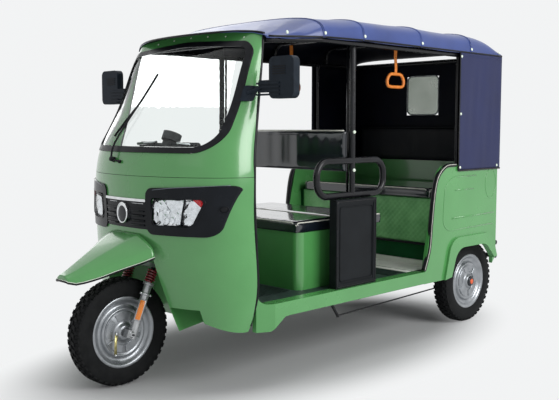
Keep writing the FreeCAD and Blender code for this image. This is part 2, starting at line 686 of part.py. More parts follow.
def lamps():
    bezels = []
    lenses = []
    for turn in (lambda outline: outline, mirrored):
        hole = front_prism(turn(lens_outline), -gap)
        bezels.append(layer(size.bezel_proud, gap, front_prism(turn(bezel_outline)).cut(hole)))
        lenses.append(layer(size.lens_proud, -size.lamp_depth, front_prism(turn(lens_outline))))
    finish(feature("HeadlampBezels", Part.makeCompound(bezels)), "headlamp_bezels")
    finish(feature("Headlamps", Part.makeCompound(lenses)), "headlamps")


def grille():
    half = size.bezel_inner - gap
    corner = size.grille_proud
    step = size.bar_height + size.bar_gap

    def band(low, high):
        return front_prism([(-half, low, corner), (half, low, corner), (half, high, corner), (-half, high, corner)])

    strip_low = size.grille_top - size.strip_height
    panel = layer(size.grille_proud, gap, band(size.grille_bottom, strip_low - gap))
    low = size.grille_bottom + size.bar_gap
    while low + step < strip_low:
        panel = panel.fuse(layer(2 * size.grille_proud, gap, band(low, low + size.bar_height)))
        low = low + step
    badge_middle = Vector(0, 0, (size.grille_bottom + size.grille_top) / 2)
    oval = Part.Ellipse(badge_middle + UP * float(size.badge_height / 2),
                        badge_middle + LEFTWARD * float(size.badge_width / 2), badge_middle)
    face = Part.Face(Part.Wire(oval.toShape()))
    face.translate(BACK * -float(2 * over))
    plug = face.extrude(BACK * float(6 * over))
    badge = layer(size.badge_proud, gap, plug)
    trim = layer(size.strip_proud, gap, band(strip_low, size.grille_top)).cut(badge)
    finish(feature("Grille", panel.cut(plug)), "grille")
    finish(feature("GrilleTrim", trim.fuse(badge)), "grille_trim")


def front_bulkhead():
    """Wheel recess, toe board and steering head: one welded pressing."""
    tunnel = arch_tunnel().cut(arch_tunnel(size.arch_wall))
    tunnel = tunnel.common(nose_solid(0, over))
    board = Part.makeBox(wide, size.toe_board_wall, size.dash_top - size.dash_height - size.nose_bottom - gap,
                         Vector(-size.nose_half_width, size.toe_board_back - size.toe_board_wall, size.nose_bottom))
    board = board.common(nose_clear)
    start = Vector(0, size.fork_trail * rake_cosine, size.wheel_radius - size.fork_trail * rake_sine)
    direction = Vector(0, rake_sine, rake_cosine)
    head_low = float(crown_high + size.head_tube_rise)
    head = Part.makeCylinder(size.head_tube_radius, size.head_tube_length, start + direction * head_low, direction)
    middle = start + direction * float(head_low + size.head_tube_length / 2)
    bracket = Part.makeBox(2 * size.stem_radius, float(size.toe_board_back - size.toe_board_wall) - middle.y,
                           size.head_tube_length / 2, Vector(-size.stem_radius, middle.y, middle.z))
    made = tunnel.fuse([board, head, bracket])
    made = made.cut(steering_bore(size.stem_radius + gap))
    below = Part.makeCylinder(size.head_tube_radius, head_low, start, direction)
    return finish(feature("FrontBulkhead", made.cut(below)), "front_bulkhead")


def dashboard():
    board = Part.makeBox(wide, size.dash_rear, size.dash_height,
                         Vector(-size.nose_half_width, 0, size.dash_top - size.dash_height))
    made = board.common(nose_clear).cut(steering_bore(size.stem_radius + size.running_clearance))
    return finish(feature("Dashboard", made), "dashboard")


def fender_solid(inset=0, below=0):
    wires = []
    for place_share, width_share, low_share, height_share in FENDER_SHARES:
        at = -size.fender_tip + (size.fender_tip + size.fender_rear) * place_share
        half = size.fender_half_width * width_share - inset
        low = size.fender_tip_low + (size.fender_rear_low - size.fender_tip_low) * low_share
        height = (size.fender_tip_height + size.fender_rear_height) * height_share - inset
        side_points = [Vector(half * across, at, low + height * up) for across, up in FENDER_EDGE_SHARES]
        if below:
            side_points[0] = Vector(half, at, low - below)
        points = side_points + [Vector(-point.x, point.y, point.z) for point in reversed(side_points)]
        wires.append(Part.makePolygon(points + points[:1]))
    return Part.makeLoft(wires, True, False, False, 3)


def front_fender():
    inner = fender_solid(size.fender_wall, over)
    inner.translate(BACK * float(size.fender_wall))
    shell = fender_solid().cut(inner)
    solid_nose = nose_solid(gap, over).cut(arch_tunnel(size.arch_wall + gap))
    return finish(feature("FrontFender", shell.cut(solid_nose)), "front_fender")


nose_panel()
windscreen_frame()
screen()
lamps()
grille()
front_bulkhead()
dashboard()
front_fender()

# Frame, floor and sills.
rail_top = size.rail_bottom + size.rail_height
floor_top = rail_top + size.floor_wall


def frame():
    outer = size.rail_spacing / 2 + size.rail_width / 2
    pieces = []
    front = size.toe_board_back + over
    for side, low, high in sides(outer - size.rail_width, outer):
        pieces.append(box("FrameRail" + side, (low, high), (front, size.rail_rear), (size.rail_bottom, rail_top)))
    wide_half = size.sill_inner - gap
    member = size.cross_member_width
    for number, back in enumerate((size.bench_front, size.bench_rear, size.rear_seat_front)):
        pieces.append(box("CrossMember" + str(number), (-wide_half, wide_half), (back, back + member),
                          (rail_top - size.cross_member_height, rail_top)))
    pieces.append(box("RearMember", (-outer, outer), (size.rail_rear - member, size.rail_rear),
                      (size.rail_bottom, rail_top)))
    return finish(fused("Frame", pieces), "frame")


def floor():
    half = size.floor_half_width
    narrow = size.wheelhouse_inner - gap
    step = size.arch_front - gap
    front = size.toe_board_back + gap
    return finish(padded("Floor", "XY_Plane", rail_top, size.floor_wall, [
        (-half, front), (half, front), (half, step), (narrow, step), (narrow, size.floor_rear),
        (-narrow, size.floor_rear), (-narrow, step), (-half, step)]), "floor")


def sills():
    """Side beams, each with a step that drops at its front end and rounds the door's corner."""
    pieces = []
    front = size.sill_front
    rear = size.arm_foot - gap
    for side, low, high in sides(size.sill_inner, size.sill_half_width):
        beam = padded("Sill" + side, "XZ_Plane", -rear, rear - front, [
            (low, size.sill_bottom, size.sill_wall), (high, size.sill_bottom, size.sill_wall),
            (high, size.sill_top, size.sill_wall), (low, size.sill_top, size.sill_wall)])
        step = padded("Step" + side, "YZ_Plane", low, high - low, [
            (front, size.step_bottom), (size.step_toe, size.step_bottom, size.sill_wall),
            (size.step_heel, size.sill_bottom, size.sill_wall), (size.step_heel + over, size.sill_bottom),
            (size.step_heel + over, size.sill_top), (front + 2 * size.sill_wall, size.sill_top, size.step_corner_radius),
            (front + 2 * size.sill_wall, size.step_top), (front, size.step_top)])
        pieces.append(fused("SillStep" + side, [beam, step]))
    doc.recompute()
    corner = float(size.step_taper)
    wedge = [Vector(size.sill_half_width, float(front) + corner, 0), Vector(size.sill_half_width, front - over, 0),
             Vector(size.sill_half_width - corner / 2, front - over, 0), Vector(size.sill_half_width - corner / 2, front, 0)]
    right_wedge = [Vector(-spot.x, spot.y, 0) for spot in wedge]
    shapes = []
    for piece, corners in zip(pieces, (wedge, right_wedge)):
        taper = Part.Face(Part.makePolygon(corners + corners[:1])).extrude(UP * float(size.cab_seam))
        shapes.append(piece.Shape.cut(taper))
    return finish(feature("Sills", Part.makeCompound(shapes)), "sills")


frame()
floor()
sills()

# Driver's bench: an open-topped box, the lid that carries the front cushion, the rear cushion.
split_half_gap = size.running_clearance / 2


def bench_box():
    def ring(name, inset, low, high):
        half = size.bench_half_width - inset
        radius = size.bench_corner_radius - inset
        front = size.bench_front + inset
        rear = size.bench_rear - inset
        return padded(name, "XY_Plane", low, high - low, [
            (-half, front, radius), (half, front, radius), (half, rear, radius), (-half, rear, radius)])
    outer = ring("BenchOuter", 0, floor_top + gap, size.bench_top)
    inner = ring("BenchInner", size.bench_wall, floor_top + gap + size.bench_wall, size.bench_top + over)
    return finish(cut("BenchBox", outer, inner), "bench_box")


def cushion(name, label, half, front, rear, low, height, radius):
    body = padded(name, "XY_Plane", low, height, [
        (-half, front, radius), (half, front, radius), (half, rear, radius), (-half, rear, radius)])
    return finish(body, label)


cushion_low = size.bench_top + gap
soft_radius = size.bench_corner_radius / 2
bench_box()
cushion("DriverLid", "driver_seat_lid", size.cushion_half_width, size.cushion_front,
        size.cushion_split - split_half_gap, cushion_low, size.cushion_height, soft_radius)
cushion("MiddleSeat", "middle_seat", size.cushion_half_width, size.cushion_split + split_half_gap,
        size.cushion_rear, cushion_low, size.cushion_height, soft_radius)

# Centre posts with their hoops, the backrest between them and the panels under them.
post_x = size.post_half_spacing
rail_tube = size.rail_radius
rail_height = size.hem_height - rail_tube
rail_x = size.canopy_half_width - size.canopy_wall - 2 * rail_tube
bow_top = size.canopy_top - size.canopy_wall - gap - size.bow_radius


def post_top():
    """Where a post meets the bend of the bow above it."""
    bend = size.bow_corner_radius
    edge = post_x + size.post_radius - (rail_x - bend)
    return bow_top - size.bow_drop - bend + math.sqrt(float(bend - size.bow_radius) ** 2 - float(edge) ** 2) - gap


def grab_frames():
    rings = []
    for sign in (1, -1):
        x = post_x * sign
        front = size.hoop_front
        rear = size.hoop_rear
        corners = [(x, front, size.hoop_bottom), (x, front, size.hoop_top), (x, rear, size.hoop_top),
                   (x, rear, size.hoop_bottom)]
        hoop = bent_tube(corners, size.hoop_radius, size.hoop_corner_radius, True)
        post = Part.makeCylinder(size.post_radius, post_top() - size.hoop_bottom,
                                 Vector(x, size.post_back, size.hoop_bottom), UP)
        rings.append(hoop.fuse(post))
    return finish(feature("GrabFrames", Part.makeCompound(rings)), "grab_frames")


def backrest():
    half = post_x - size.hoop_radius - gap
    return finish(padded("Backrest", "XZ_Plane", -size.post_back, size.backrest_wall, [
        (-half, size.backrest_bottom), (half, size.backrest_bottom), (half, size.backrest_top),
        (-half, size.backrest_top)], False), "driver_backrest")


def side_panels():
    pieces = []
    top = size.hoop_bottom - size.hoop_radius - gap
    border = size.panel_border
    for side, low, high in sides(size.panel_outer - size.panel_wall, size.panel_outer):
        plate = box("PanelPlate" + side, (low, high), (size.panel_front, size.panel_rear), (size.sill_top + gap, top))
        outer = high if side == "left" else low
        reach = (outer - size.panel_recess, outer + over) if side == "left" else (outer - over, outer + size.panel_recess)
        field = box("PanelField" + side, reach, (size.panel_front + border, size.panel_rear - border),
                    (size.sill_top + gap + border, top - border))
        pieces.append(cut("Panel" + side, plate, field))
    return finish(grouped("SidePanels", pieces), "side_panels")


grab_frames()
backrest()
side_panels()

# Rear body: sides with their arches and flares, back panel, inner pressing, seat and backrest.
arch_shape = [
    (size.arch_front, size.body_bottom - over), (size.arch_front, size.body_bottom),
    (size.arch_front + size.flare_width, size.arch_crown, size.rear_arch_radius),
    (size.arch_rear - 2 * size.flare_width, size.arch_crown, size.rear_arch_radius),
    (size.arch_rear - size.flare_width / 2, size.arch_skirt),
    (size.arch_rear - size.flare_width / 2, size.body_bottom - over)]


def body_sides():
    pieces = []
    flare = size.flare_proud
    for side, low, high in sides(size.body_half_width - size.body_wall, size.body_half_width):
        plate = padded("BodyPlate" + side, "YZ_Plane", low, size.body_wall, [
            (size.arm_foot, size.body_bottom), (size.arm_foot, size.sill_top), (size.arm_waist, size.backrest_bottom - over * 10),
            (size.arm_top - over, size.body_top, size.arm_corner_radius), (size.body_rear, size.body_top),
            (size.body_rear, size.arch_skirt), (size.arch_rear - size.flare_width, size.body_bottom),
            (size.arch_front, size.body_bottom)])
        start = high if side == "left" else low - flare
        lip = padded("BodyFlare" + side, "YZ_Plane", start, flare, [
            (size.arch_front - size.flare_width, size.body_bottom),
            (size.arch_front, size.arch_crown + size.flare_width, size.rear_arch_radius),
            (size.body_rear - size.flare_width, size.arch_crown + size.flare_width, size.rear_arch_radius),
            (size.body_rear, size.arch_skirt)])
        near_x = low - over if side == "left" else low - flare - over
        hole = padded("BodyArch" + side, "YZ_Plane", near_x, size.body_wall + flare + 2 * over, arch_shape)
        pieces.append(cut("BodySide" + side, fused("BodySkin" + side, [plate, lip]), hole))
    return finish(grouped("BodySides", pieces), "body_sides")


def plate_bolts(name):
    """The two bolt holes of the number plate, right through plate and panel."""
    holes = []
    height = size.plate_low + size.plate_height - 2 * over
    start = size.body_rear - size.body_back_wall - over
    for side, sign in (("Left", 1), ("Right", -1)):
        holes.append(rod(name + side, size.plate_hole_radius, size.body_back_wall + 4 * over,
                         (size.plate_hole_spacing / 2 * sign, start, height), BACK))
    return fused(name, holes)


def back_panel():
    half = size.body_half_width - size.body_wall - gap
    narrow = size.wheelhouse_inner
    step = size.wheelhouse_top
    plate = padded("BackPlate", "XZ_Plane", -size.body_rear, size.body_back_wall, [
        (-narrow, rail_top + gap), (narrow, rail_top + gap), (narrow, step), (half, step),
        (half, size.body_top), (-half, size.body_top), (-half, step), (-narrow, step)])
    return finish(cut("BackPanel", plate, plate_bolts("PanelBolts")), "back_panel")


body_inner = size.body_half_width - size.body_wall
panel_front = size.body_rear - size.body_back_wall


def inner_body():
    """Seat front, seat rim and wheel houses, one pressing."""
    half = body_inner - gap
    wall_ = size.rear_seat_wall
    rear = panel_front - gap
    front = size.rear_seat_front
    house_front = size.arch_front
    pieces = [
        box("SeatFront", (-half, half), (front, front + wall_), (floor_top + gap, size.rear_seat_top)),
        box("SeatRimRear", (-half, half), (size.rear_cushion_rear - 2 * over, rear),
            (size.rear_seat_top - wall_, size.rear_seat_top))]
    for side, low, high in sides(size.wheelhouse_inner, half):
        inner = low if side == "left" else high - size.wheelhouse_wall
        pieces += [
            box("SeatRim" + side, (low + over, high) if side == "left" else (low, high - over), (front, rear),
                (size.rear_seat_top - wall_, size.rear_seat_top)),
            box("HouseTop" + side, (low, high), (house_front, rear),
                (size.wheelhouse_top - size.wheelhouse_wall, size.wheelhouse_top)),
            box("HouseFront" + side, (low, high), (house_front, house_front + size.wheelhouse_wall),
                (floor_top + gap, size.wheelhouse_top)),
            box("HouseSide" + side, (inner, inner + size.wheelhouse_wall), (house_front, rear),
                (floor_top + gap, size.wheelhouse_top))]
    for side, low, high in sides(size.wheelhouse_inner, half):
        pieces.append(box("HouseEnd" + side, (low, high), (rear - wall_, rear), (size.wheelhouse_top - wall_,
                                                                              size.rear_seat_top)))
    return finish(fused("InnerBody", pieces), "inner_body")


body_sides()
back_panel()
inner_body()
cushion("RearLid", "rear_seat_lid", size.rear_cushion_half_width, size.rear_cushion_front, size.rear_cushion_rear,
        size.rear_seat_top + gap, size.rear_cushion_height, soft_radius)
half_rest = size.rear_backrest_half_width
finish(padded("RearBackrest", "XZ_Plane", -size.body_rear, size.rear_backrest_wall, [
    (-half_rest, size.body_top + gap), (half_rest, size.body_top + gap),
    (half_rest, size.rear_backrest_top, soft_radius), (-half_rest, size.rear_backrest_top, soft_radius)]),
    "rear_backrest")

# Canopy: bows and rails of bent tube, the vinyl cover, its rear window and the hand straps.

def bows():
    """Place along the vehicle, drop under the roof and half width of each bow, from the front."""
    return [(size.first_bow, size.first_bow_drop, rail_x - size.bow_radius), (size.post_back, size.bow_drop, rail_x),
            (size.post_back + size.bow_spacing, size.middle_bow_drop, rail_x),
            (size.post_back + 2 * size.bow_spacing, size.bow_drop, rail_x)]


def canopy_bows():
    """Four arches of bent tube that stand on the side rails."""
    low = rail_height + size.rail_radius + gap
    arches = []
    for back, drop, half in bows():
        high = bow_top - drop
        arches.append(bent_tube([(-half, back, low), (-half, back, high), (half, back, high), (half, back, low)],
                                size.bow_radius, size.bow_corner_radius))
    return finish(feature("CanopyBows", Part.makeCompound(arches)), "canopy_bows")


def canopy_frame():
    """Side rails that meet at the header, with the rear bar and the uprights."""
    tube = size.bow_radius
    rail = size.rail_radius
    low = rail_height
    header_back = size.nose_rear + rail
    half_header = size.screen_top_half_width
    rear = size.body_rear - size.canopy_wall - rail
    bow = size.first_bow
    pieces = [bent_tube([(-rail_x, rear, low), (-rail_x, bow, low), (-half_header, header_back, low - rail),
                         (half_header, header_back, low - rail), (rail_x, bow, low), (rail_x, rear, low)],
                        rail, 2 * rail),
              Part.makeCylinder(tube, 2 * rail_x, Vector(-rail_x, rear - 2 * rail, low), LEFTWARD)]
    for sign in (1, -1):
        for back in (size.curtain_front + 2 * tube, rear - 5 * rail):
            pieces.append(Part.makeCylinder(tube, low - size.body_top - gap,
                                            Vector(rail_x * sign, back, size.body_top + gap), UP))
    return finish(feature("CanopyFrame", pieces[0].fuse(pieces[1:])), "canopy_frame")


def canopy_cover():
    wall_ = size.canopy_wall
    shell = canopy_solid().cut(canopy_solid(-wall_, 10 * over))
    tip = size.canopy_tip_half_width
    lip = Part.Arc(Vector(-tip, size.canopy_tip, 0), Vector(0, size.canopy_front, 0), Vector(tip, size.canopy_tip, 0))
    ahead = -size.front_overhang
    beyond = tip + 10 * over
    corners = [Vector(tip, size.canopy_tip, 0), Vector(beyond, size.canopy_tip, 0), Vector(beyond, ahead, 0),
               Vector(-beyond, ahead, 0), Vector(-beyond, size.canopy_tip, 0), Vector(-tip, size.canopy_tip, 0)]
    edges = [lip.toShape()] + [Part.makeLine(first, last) for first, last in zip(corners, corners[1:])]
    nose_cut = Part.Face(Part.Wire(Part.__sortEdges__(edges))).extrude(UP * float(size.canopy_top + over))
    shell = shell.cut(nose_cut)
    height = size.hem_height - size.curtain_bottom + over / 4
    length = size.canopy_rear - size.curtain_front
    half = size.canopy_half_width
    panels = [
        Part.makeBox(wall_, length, height, Vector(half - wall_, size.curtain_front, size.curtain_bottom)),
        Part.makeBox(wall_, length, height, Vector(-half, size.curtain_front, size.curtain_bottom)),
        Part.makeBox(2 * half, wall_, height, Vector(-half, size.canopy_rear - wall_, size.curtain_bottom))]
    window = front_wire(window_outline(), float(size.canopy_rear - 2 * over))
    hole = Part.Face(window).extrude(BACK * float(4 * over))
    return finish(feature("CanopyCover", shell.fuse(panels).cut(hole)), "canopy_cover")


def window_outline(inset=0):
    half = size.window_half_width - inset
    low = size.window_bottom + inset
    high = size.window_top - inset
    corner = size.window_radius - inset
    return [(-half, low, corner), (half, low, corner), (half, high, corner), (-half, high, corner)]


def rear_window():
    body = padded("RearWindow", "XZ_Plane", -size.canopy_rear + (size.canopy_wall - size.window_wall) / 2,
                  size.window_wall, window_outline(gap), False)
    return finish(body, "rear_window")


def grab_straps():
    straps = []
    bow_back, bow_drop, half = bows()[2]
    bow_low = bow_top - bow_drop - size.bow_radius
    for sign in (1, -1):
        x = size.strap_half_spacing * sign
        ring_half = size.strap_ring_width / 2
        low = size.strap_ring_bottom
        high = size.strap_ring_top
        corner = (high - low) * 0.45
        ring = bent_tube([(x, bow_back - ring_half, low), (x, bow_back - ring_half, high),
                          (x, bow_back + ring_half, high), (x, bow_back + ring_half, low)],
                         size.strap_ring_radius, corner, True)
        web = Part.makeBox(size.strap_wall, size.strap_width, bow_low - gap - high,
                           Vector(x - size.strap_wall / 2, bow_back - size.strap_width / 2, high))
        straps.append(ring.fuse(web))
    return finish(feature("GrabStraps", Part.makeCompound(straps)), "grab_straps")


canopy_bows()
canopy_frame()
canopy_cover()
rear_window()
grab_straps()

# Mirrors and wiper, on the cab's skin.
def skin_point(x, z, outward):
    """A point near the nose's outside at a width and height, moved forwards by a distance."""
    share = float((z - size.nose_bottom) / (size.cab_top - size.nose_bottom))
    rows = list(zip(NOSE_SHARES, NOSE_SHARES[1:]))
    low, high = next(pair for pair in rows if pair[1][0] >= share or pair is rows[-1])
    blend = (share - low[0]) / (high[0] - low[0])
    row = [first + (second - first) * blend for first, second in zip(low, high)]
    width = float(size.nose_half_width) * row[1]
    front = float(size.nose_front) + float(size.nose_rear - size.nose_front) * row[2]
    rear = float(size.nose_front) + float(size.nose_rear - size.nose_front) * row[3]
    inside = max(1 - abs(x / width) ** row[4], 0)
    return Vector(x, rear - (rear - front) * inside ** (1 / row[4]) - outward, z)


def mirrors():
    heads = []
    blocked = nose_solid(gap, over)
    corner = size.mirror_corner_radius
    inner = size.mirror_inner
    outer = inner + size.mirror_width
    low = size.mirror_arm_height - size.mirror_head_drop
    high = low + size.mirror_height
    knuckle_high = low + size.mirror_height * 0.45
    knuckle_inner = size.mirror_inner - size.mirror_width * 0.45
    pad_half = size.mirror_pad_width / 2
    pad_x = size.mirror_pad_inner + pad_half
    pad_low = size.mirror_arm_height - size.mirror_pad_height / 2
    pad_high = size.mirror_arm_height + size.mirror_pad_height / 2
    for turn in (lambda outline: outline, mirrored):
        sign = 1 if turn is not mirrored else -1
        shell_front = float(size.mirror_back - size.mirror_wall / 2)
        head = Part.Face(front_wire(turn([(inner, low, corner), (outer, low, corner), (outer, high, corner),
                                          (inner, high, corner)]), shell_front))
        head = head.extrude(BACK * float(size.mirror_wall))
        knuckle = Part.Face(front_wire(turn([
            (knuckle_inner, low + corner, corner / 4), (inner + corner, low + corner, corner / 4),
            (inner + corner, knuckle_high, corner / 4), (knuckle_inner, knuckle_high, corner / 4)]), shell_front))
        knuckle = knuckle.extrude(BACK * float(size.mirror_wall / 2))
        foot = skin_point(sign * float(pad_x), float(size.mirror_arm_height), 0)
        joint = Vector(sign * float(knuckle_inner + corner), shell_front + float(size.mirror_wall / 4),
                       float(low + corner + (knuckle_high - low - corner) / 2))
        arm = Part.makeCylinder(size.mirror_arm_radius, (joint - foot).Length, foot, joint - foot)
        pad = nose_solid(size.mirror_arm_radius, over).common(front_prism(turn([
            (pad_x - pad_half, pad_low, corner / 4), (pad_x + pad_half, pad_low, corner / 4),
            (pad_x + pad_half, pad_high, corner / 4), (pad_x - pad_half, pad_high, corner / 4)])))
        heads.append(head.fuse([knuckle, arm, pad]).cut(blocked))
    return finish(feature("Mirrors", Part.makeCompound(heads)), "mirrors")


mirrors()

# Running gear: rear axle, motor, leaf springs, battery, bumper, lamps, plate and brake rod.
axle_low = size.wheel_radius


def rear_axle():
    tube_half = size.track / 2 - size.hub_width / 2 - size.running_clearance
    stub_half = size.track / 2 + size.hub_width / 2
    back = size.wheelbase
    pieces = [
        rod("AxleTube", size.axle_tube_radius, 2 * tube_half, (-tube_half, back, axle_low), LEFTWARD),
        rod("AxleStubs", size.axle_radius, 2 * stub_half, (-stub_half, back, axle_low), LEFTWARD),
        rod("Differential", 2 * size.axle_tube_radius, 3 * size.axle_tube_radius,
            (-size.axle_tube_radius, back, axle_low), LEFTWARD)]
    return finish(fused("RearAxle", pieces), "rear_axle")


def motor():
    front = size.wheelbase - 2 * size.axle_tube_radius - gap - size.motor_length
    body = rod("MotorBlock", size.motor_radius, size.motor_length, (size.axle_tube_radius / 2, front, axle_low), BACK)
    return finish(grouped("Motor", [body]), "motor")


def leaf_springs():
    packs = []
    leaves = (1.0, 0.7, 0.42)
    leaf = size.spring_pack_height / 3
    base = axle_low + size.axle_tube_radius + gap
    for side, low, high in sides(size.rail_spacing / 2 - size.spring_leaf_width / 2,
                                 size.rail_spacing / 2 + size.spring_leaf_width / 2):
        stack = []
        for number, share in enumerate(reversed(leaves)):
            half = size.spring_half_length * share
            stack.append(box("Leaf" + side + str(number), (low, high), (size.wheelbase - half, size.wheelbase + half),
                             (base + leaf * number, base + leaf * (number + 1))))
        for number, sign in enumerate((-1, 1)):
            middle = size.wheelbase + (size.spring_half_length - over) * sign
            stack.append(box("Shackle" + side + str(number), (low, high), (middle - over, middle + over),
                             (base + size.spring_pack_height, size.rail_bottom - gap)))
        packs.append(fused("LeafPack" + side, stack))
    return finish(grouped("LeafSprings", packs), "leaf_springs")


def battery():
    half = size.battery_width / 2
    front = size.rear_seat_front + size.rear_seat_wall + over
    block = box("BatteryBlock", (-half, half), (front, front + size.battery_length),
                (floor_top + gap, floor_top + gap + size.battery_height))
    return finish(grouped("Battery", [block]), "battery")


def bumper():
    tube = size.bumper_radius
    back = size.wheelbase + size.rear_overhang - tube
    half = size.bumper_half_width
    pieces = [
        rod("BumperLow", tube, 2 * half, (-half, back, size.bumper_low), LEFTWARD),
        rod("BumperHigh", tube, 2 * half, (-half, back, size.bumper_high), LEFTWARD)]
    for side, sign in (("Left", 1), ("Right", -1)):
        x = size.rail_spacing / 2 * sign
        pieces.append(rod("BumperArm" + side, tube, back - size.rail_rear - gap,
                          (x, size.rail_rear + gap, size.bumper_low - tube), BACK))
        pieces.append(rod("BumperUpright" + side, tube, size.bumper_high - size.bumper_low,
                          (x, back, size.bumper_low), UP))
    return finish(fused("Bumper", pieces), "rear_bumper")


def tail_lamps():
    lamps_ = []
    low = size.plate_low
    for side, inner, outer in sides(size.tail_lamp_offset - size.tail_lamp_width / 2,
                                    size.tail_lamp_offset + size.tail_lamp_width / 2):
        lamps_.append(box("TailLamp" + side, (inner, outer), (size.body_rear + gap, size.body_rear + size.tail_lamp_depth),
                          (low, low + size.tail_lamp_height)))
    return finish(grouped("TailLamps", lamps_), "tail_lamps")


def number_plate():
    half = size.plate_width / 2
    plate = box("PlateBlank", (-half, half), (size.body_rear + gap, size.body_rear + gap + size.plate_wall),
                (size.plate_low, size.plate_low + size.plate_height))
    return finish(cut("NumberPlate", plate, plate_bolts("PlateBolts")), "number_plate")


def brake_linkage():
    """A bracket under the floor, its lever, and the rod back to the axle."""
    x = size.brake_side
    thin = size.brake_rod_radius
    pin = Vector(x, size.brake_back, size.brake_pivot)
    knee = Vector(x, size.brake_back + size.brake_reach, size.brake_drop)
    rear = Vector(x, size.wheelbase - size.brake_reach, size.brake_end)
    eye = Vector(x, size.wheelbase, size.wheel_radius - size.axle_tube_radius - thin - gap)
    bracket = Part.makeBox(2 * thin, size.brake_bracket, rail_top - gap - size.brake_pivot + 2 * thin,
                           pin - Vector(thin, size.brake_bracket / 2, 2 * thin))
    solids = []
    for start, end, radius in ((pin, knee, 2 * thin), (knee, rear, thin), (rear, eye, thin)):
        solids.append(Part.makeCylinder(radius, (end - start).Length, start, end - start))
        solids.append(Part.makeSphere(1.2 * radius, end))
    return finish(feature("BrakeLinkage", bracket.fuse(solids[:-1])), "brake_linkage")


rear_axle()
motor()
leaf_springs()
battery()
brake_linkage()
bumper()
tail_lamps()
number_plate()

doc.recompute()
faults = [item.Label for item in doc.Objects if "Invalid" in item.State or "Error" in item.State]
for part in parts:
    if part.Shape.isNull() or not part.Shape.isValid() or not part.Shape.Solids:
        faults.append(part.Label)
if faults:
    raise SystemExit("these objects failed: " + ", ".join(faults))
os.makedirs("parts", exist_ok=True)
for part in parts:
    part.Shape.exportStep("parts/" + part.Label + ".step")
    print(part.Label, round(part.Shape.Volume), len(part.Shape.Solids), part.Shape.BoundBox)
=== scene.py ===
import json
import math

import bmesh
import bpy
from mathutils import Matrix, Vector
from mathutils.bvhtree import BVHTree


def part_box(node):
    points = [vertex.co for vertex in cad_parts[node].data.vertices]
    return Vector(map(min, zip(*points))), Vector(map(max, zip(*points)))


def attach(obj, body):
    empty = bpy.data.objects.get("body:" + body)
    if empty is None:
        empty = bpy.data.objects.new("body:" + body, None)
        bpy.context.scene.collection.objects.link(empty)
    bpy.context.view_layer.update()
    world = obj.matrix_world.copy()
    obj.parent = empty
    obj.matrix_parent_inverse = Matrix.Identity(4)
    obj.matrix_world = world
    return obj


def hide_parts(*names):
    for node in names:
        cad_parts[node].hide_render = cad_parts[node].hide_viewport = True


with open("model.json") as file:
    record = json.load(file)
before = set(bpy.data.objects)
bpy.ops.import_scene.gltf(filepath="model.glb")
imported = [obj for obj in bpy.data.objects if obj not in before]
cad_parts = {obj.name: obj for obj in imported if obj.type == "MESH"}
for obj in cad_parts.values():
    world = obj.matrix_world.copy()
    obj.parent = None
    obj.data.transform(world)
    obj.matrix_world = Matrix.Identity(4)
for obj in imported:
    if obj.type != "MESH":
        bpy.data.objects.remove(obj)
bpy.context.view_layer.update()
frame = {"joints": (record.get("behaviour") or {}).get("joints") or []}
joint_at = {joint["name"]: Vector(joint["pos_m"]) for joint in frame["joints"]}

# Camera: a little above waist height off the vehicle's front left corner, level and with a
# moderate lens. Its place was solved from the wheels, the sill and the windscreen's outline.
camera_place = Vector((3.1341, -3.1515, 1.1867))
camera_yaw = math.radians(45.3095)
camera_pitch = math.radians(-5.1377)
sensor_width = 36.0
focal_share = 1.44849
ahead = Vector((-math.sin(camera_yaw) * math.cos(camera_pitch),
                math.cos(camera_yaw) * math.cos(camera_pitch), math.sin(camera_pitch)))
camera = bpy.data.objects.new("camera", bpy.data.cameras.new("camera"))
bpy.context.scene.collection.objects.link(camera)
camera.data.sensor_width = sensor_width
camera.data.lens = sensor_width * focal_share
camera.location = camera_place
camera.rotation_euler = ahead.to_track_quat("-Z", "Y").to_euler()
bpy.context.scene.camera = camera

# Studio: one pale floor that fades into the pale surroundings, its diffuse part darker in an ellipse
# round the vehicle as a painted shadow that deepens the one its lamps cast, a large soft box to the
# vehicle's left, one above it, a faint one ahead, a box to the right that only shiny faces show, and
# even light from everywhere.
bpy.context.scene.view_settings.view_transform = "Standard"
surround_tone = (0.89, 0.90, 0.905, 1)
# A low diffuse tone, so the floor round the vehicle shows a painted shadow.
floor_shadow_tone = (0.52, 0.525, 0.53, 1)
floor_spread = Vector((1 / 0.85, 1 / 1.65, 0))
floor_near = 0.68
floor_far = 1.12
floor_reach = 30.0
ambient_strength = 0.36
lamp_aim = Vector((0, 0, 0.7))


def seen_directly(tree):
    """1 for a ray from the camera, a mirror-like surface or glass, 0 for any other."""
    path = tree.nodes.new("ShaderNodeLightPath")
    either = tree.nodes.new("ShaderNodeMath")
    either.operation = "MAXIMUM"
    tree.links.new(path.outputs["Is Camera Ray"], either.inputs[0])
    tree.links.new(path.outputs["Is Glossy Ray"], either.inputs[1])
    any_of = tree.nodes.new("ShaderNodeMath")
    any_of.operation = "MAXIMUM"
    tree.links.new(either.outputs[0], any_of.inputs[0])
    tree.links.new(path.outputs["Is Transmission Ray"], any_of.inputs[1])
    return any_of.outputs[0]


world = bpy.data.worlds.new("studio")
bpy.context.scene.world = world
world.use_nodes = True
world_tree = world.node_tree
world_light = world_tree.nodes["Background"]
world_light.inputs["Color"].default_value = surround_tone
world_strength = world_tree.nodes.new("ShaderNodeMapRange")
world_strength.inputs["To Min"].default_value = ambient_strength
world_tree.links.new(seen_directly(world_tree), world_strength.inputs["Value"])
world_tree.links.new(world_strength.outputs["Result"], world_light.inputs["Strength"])

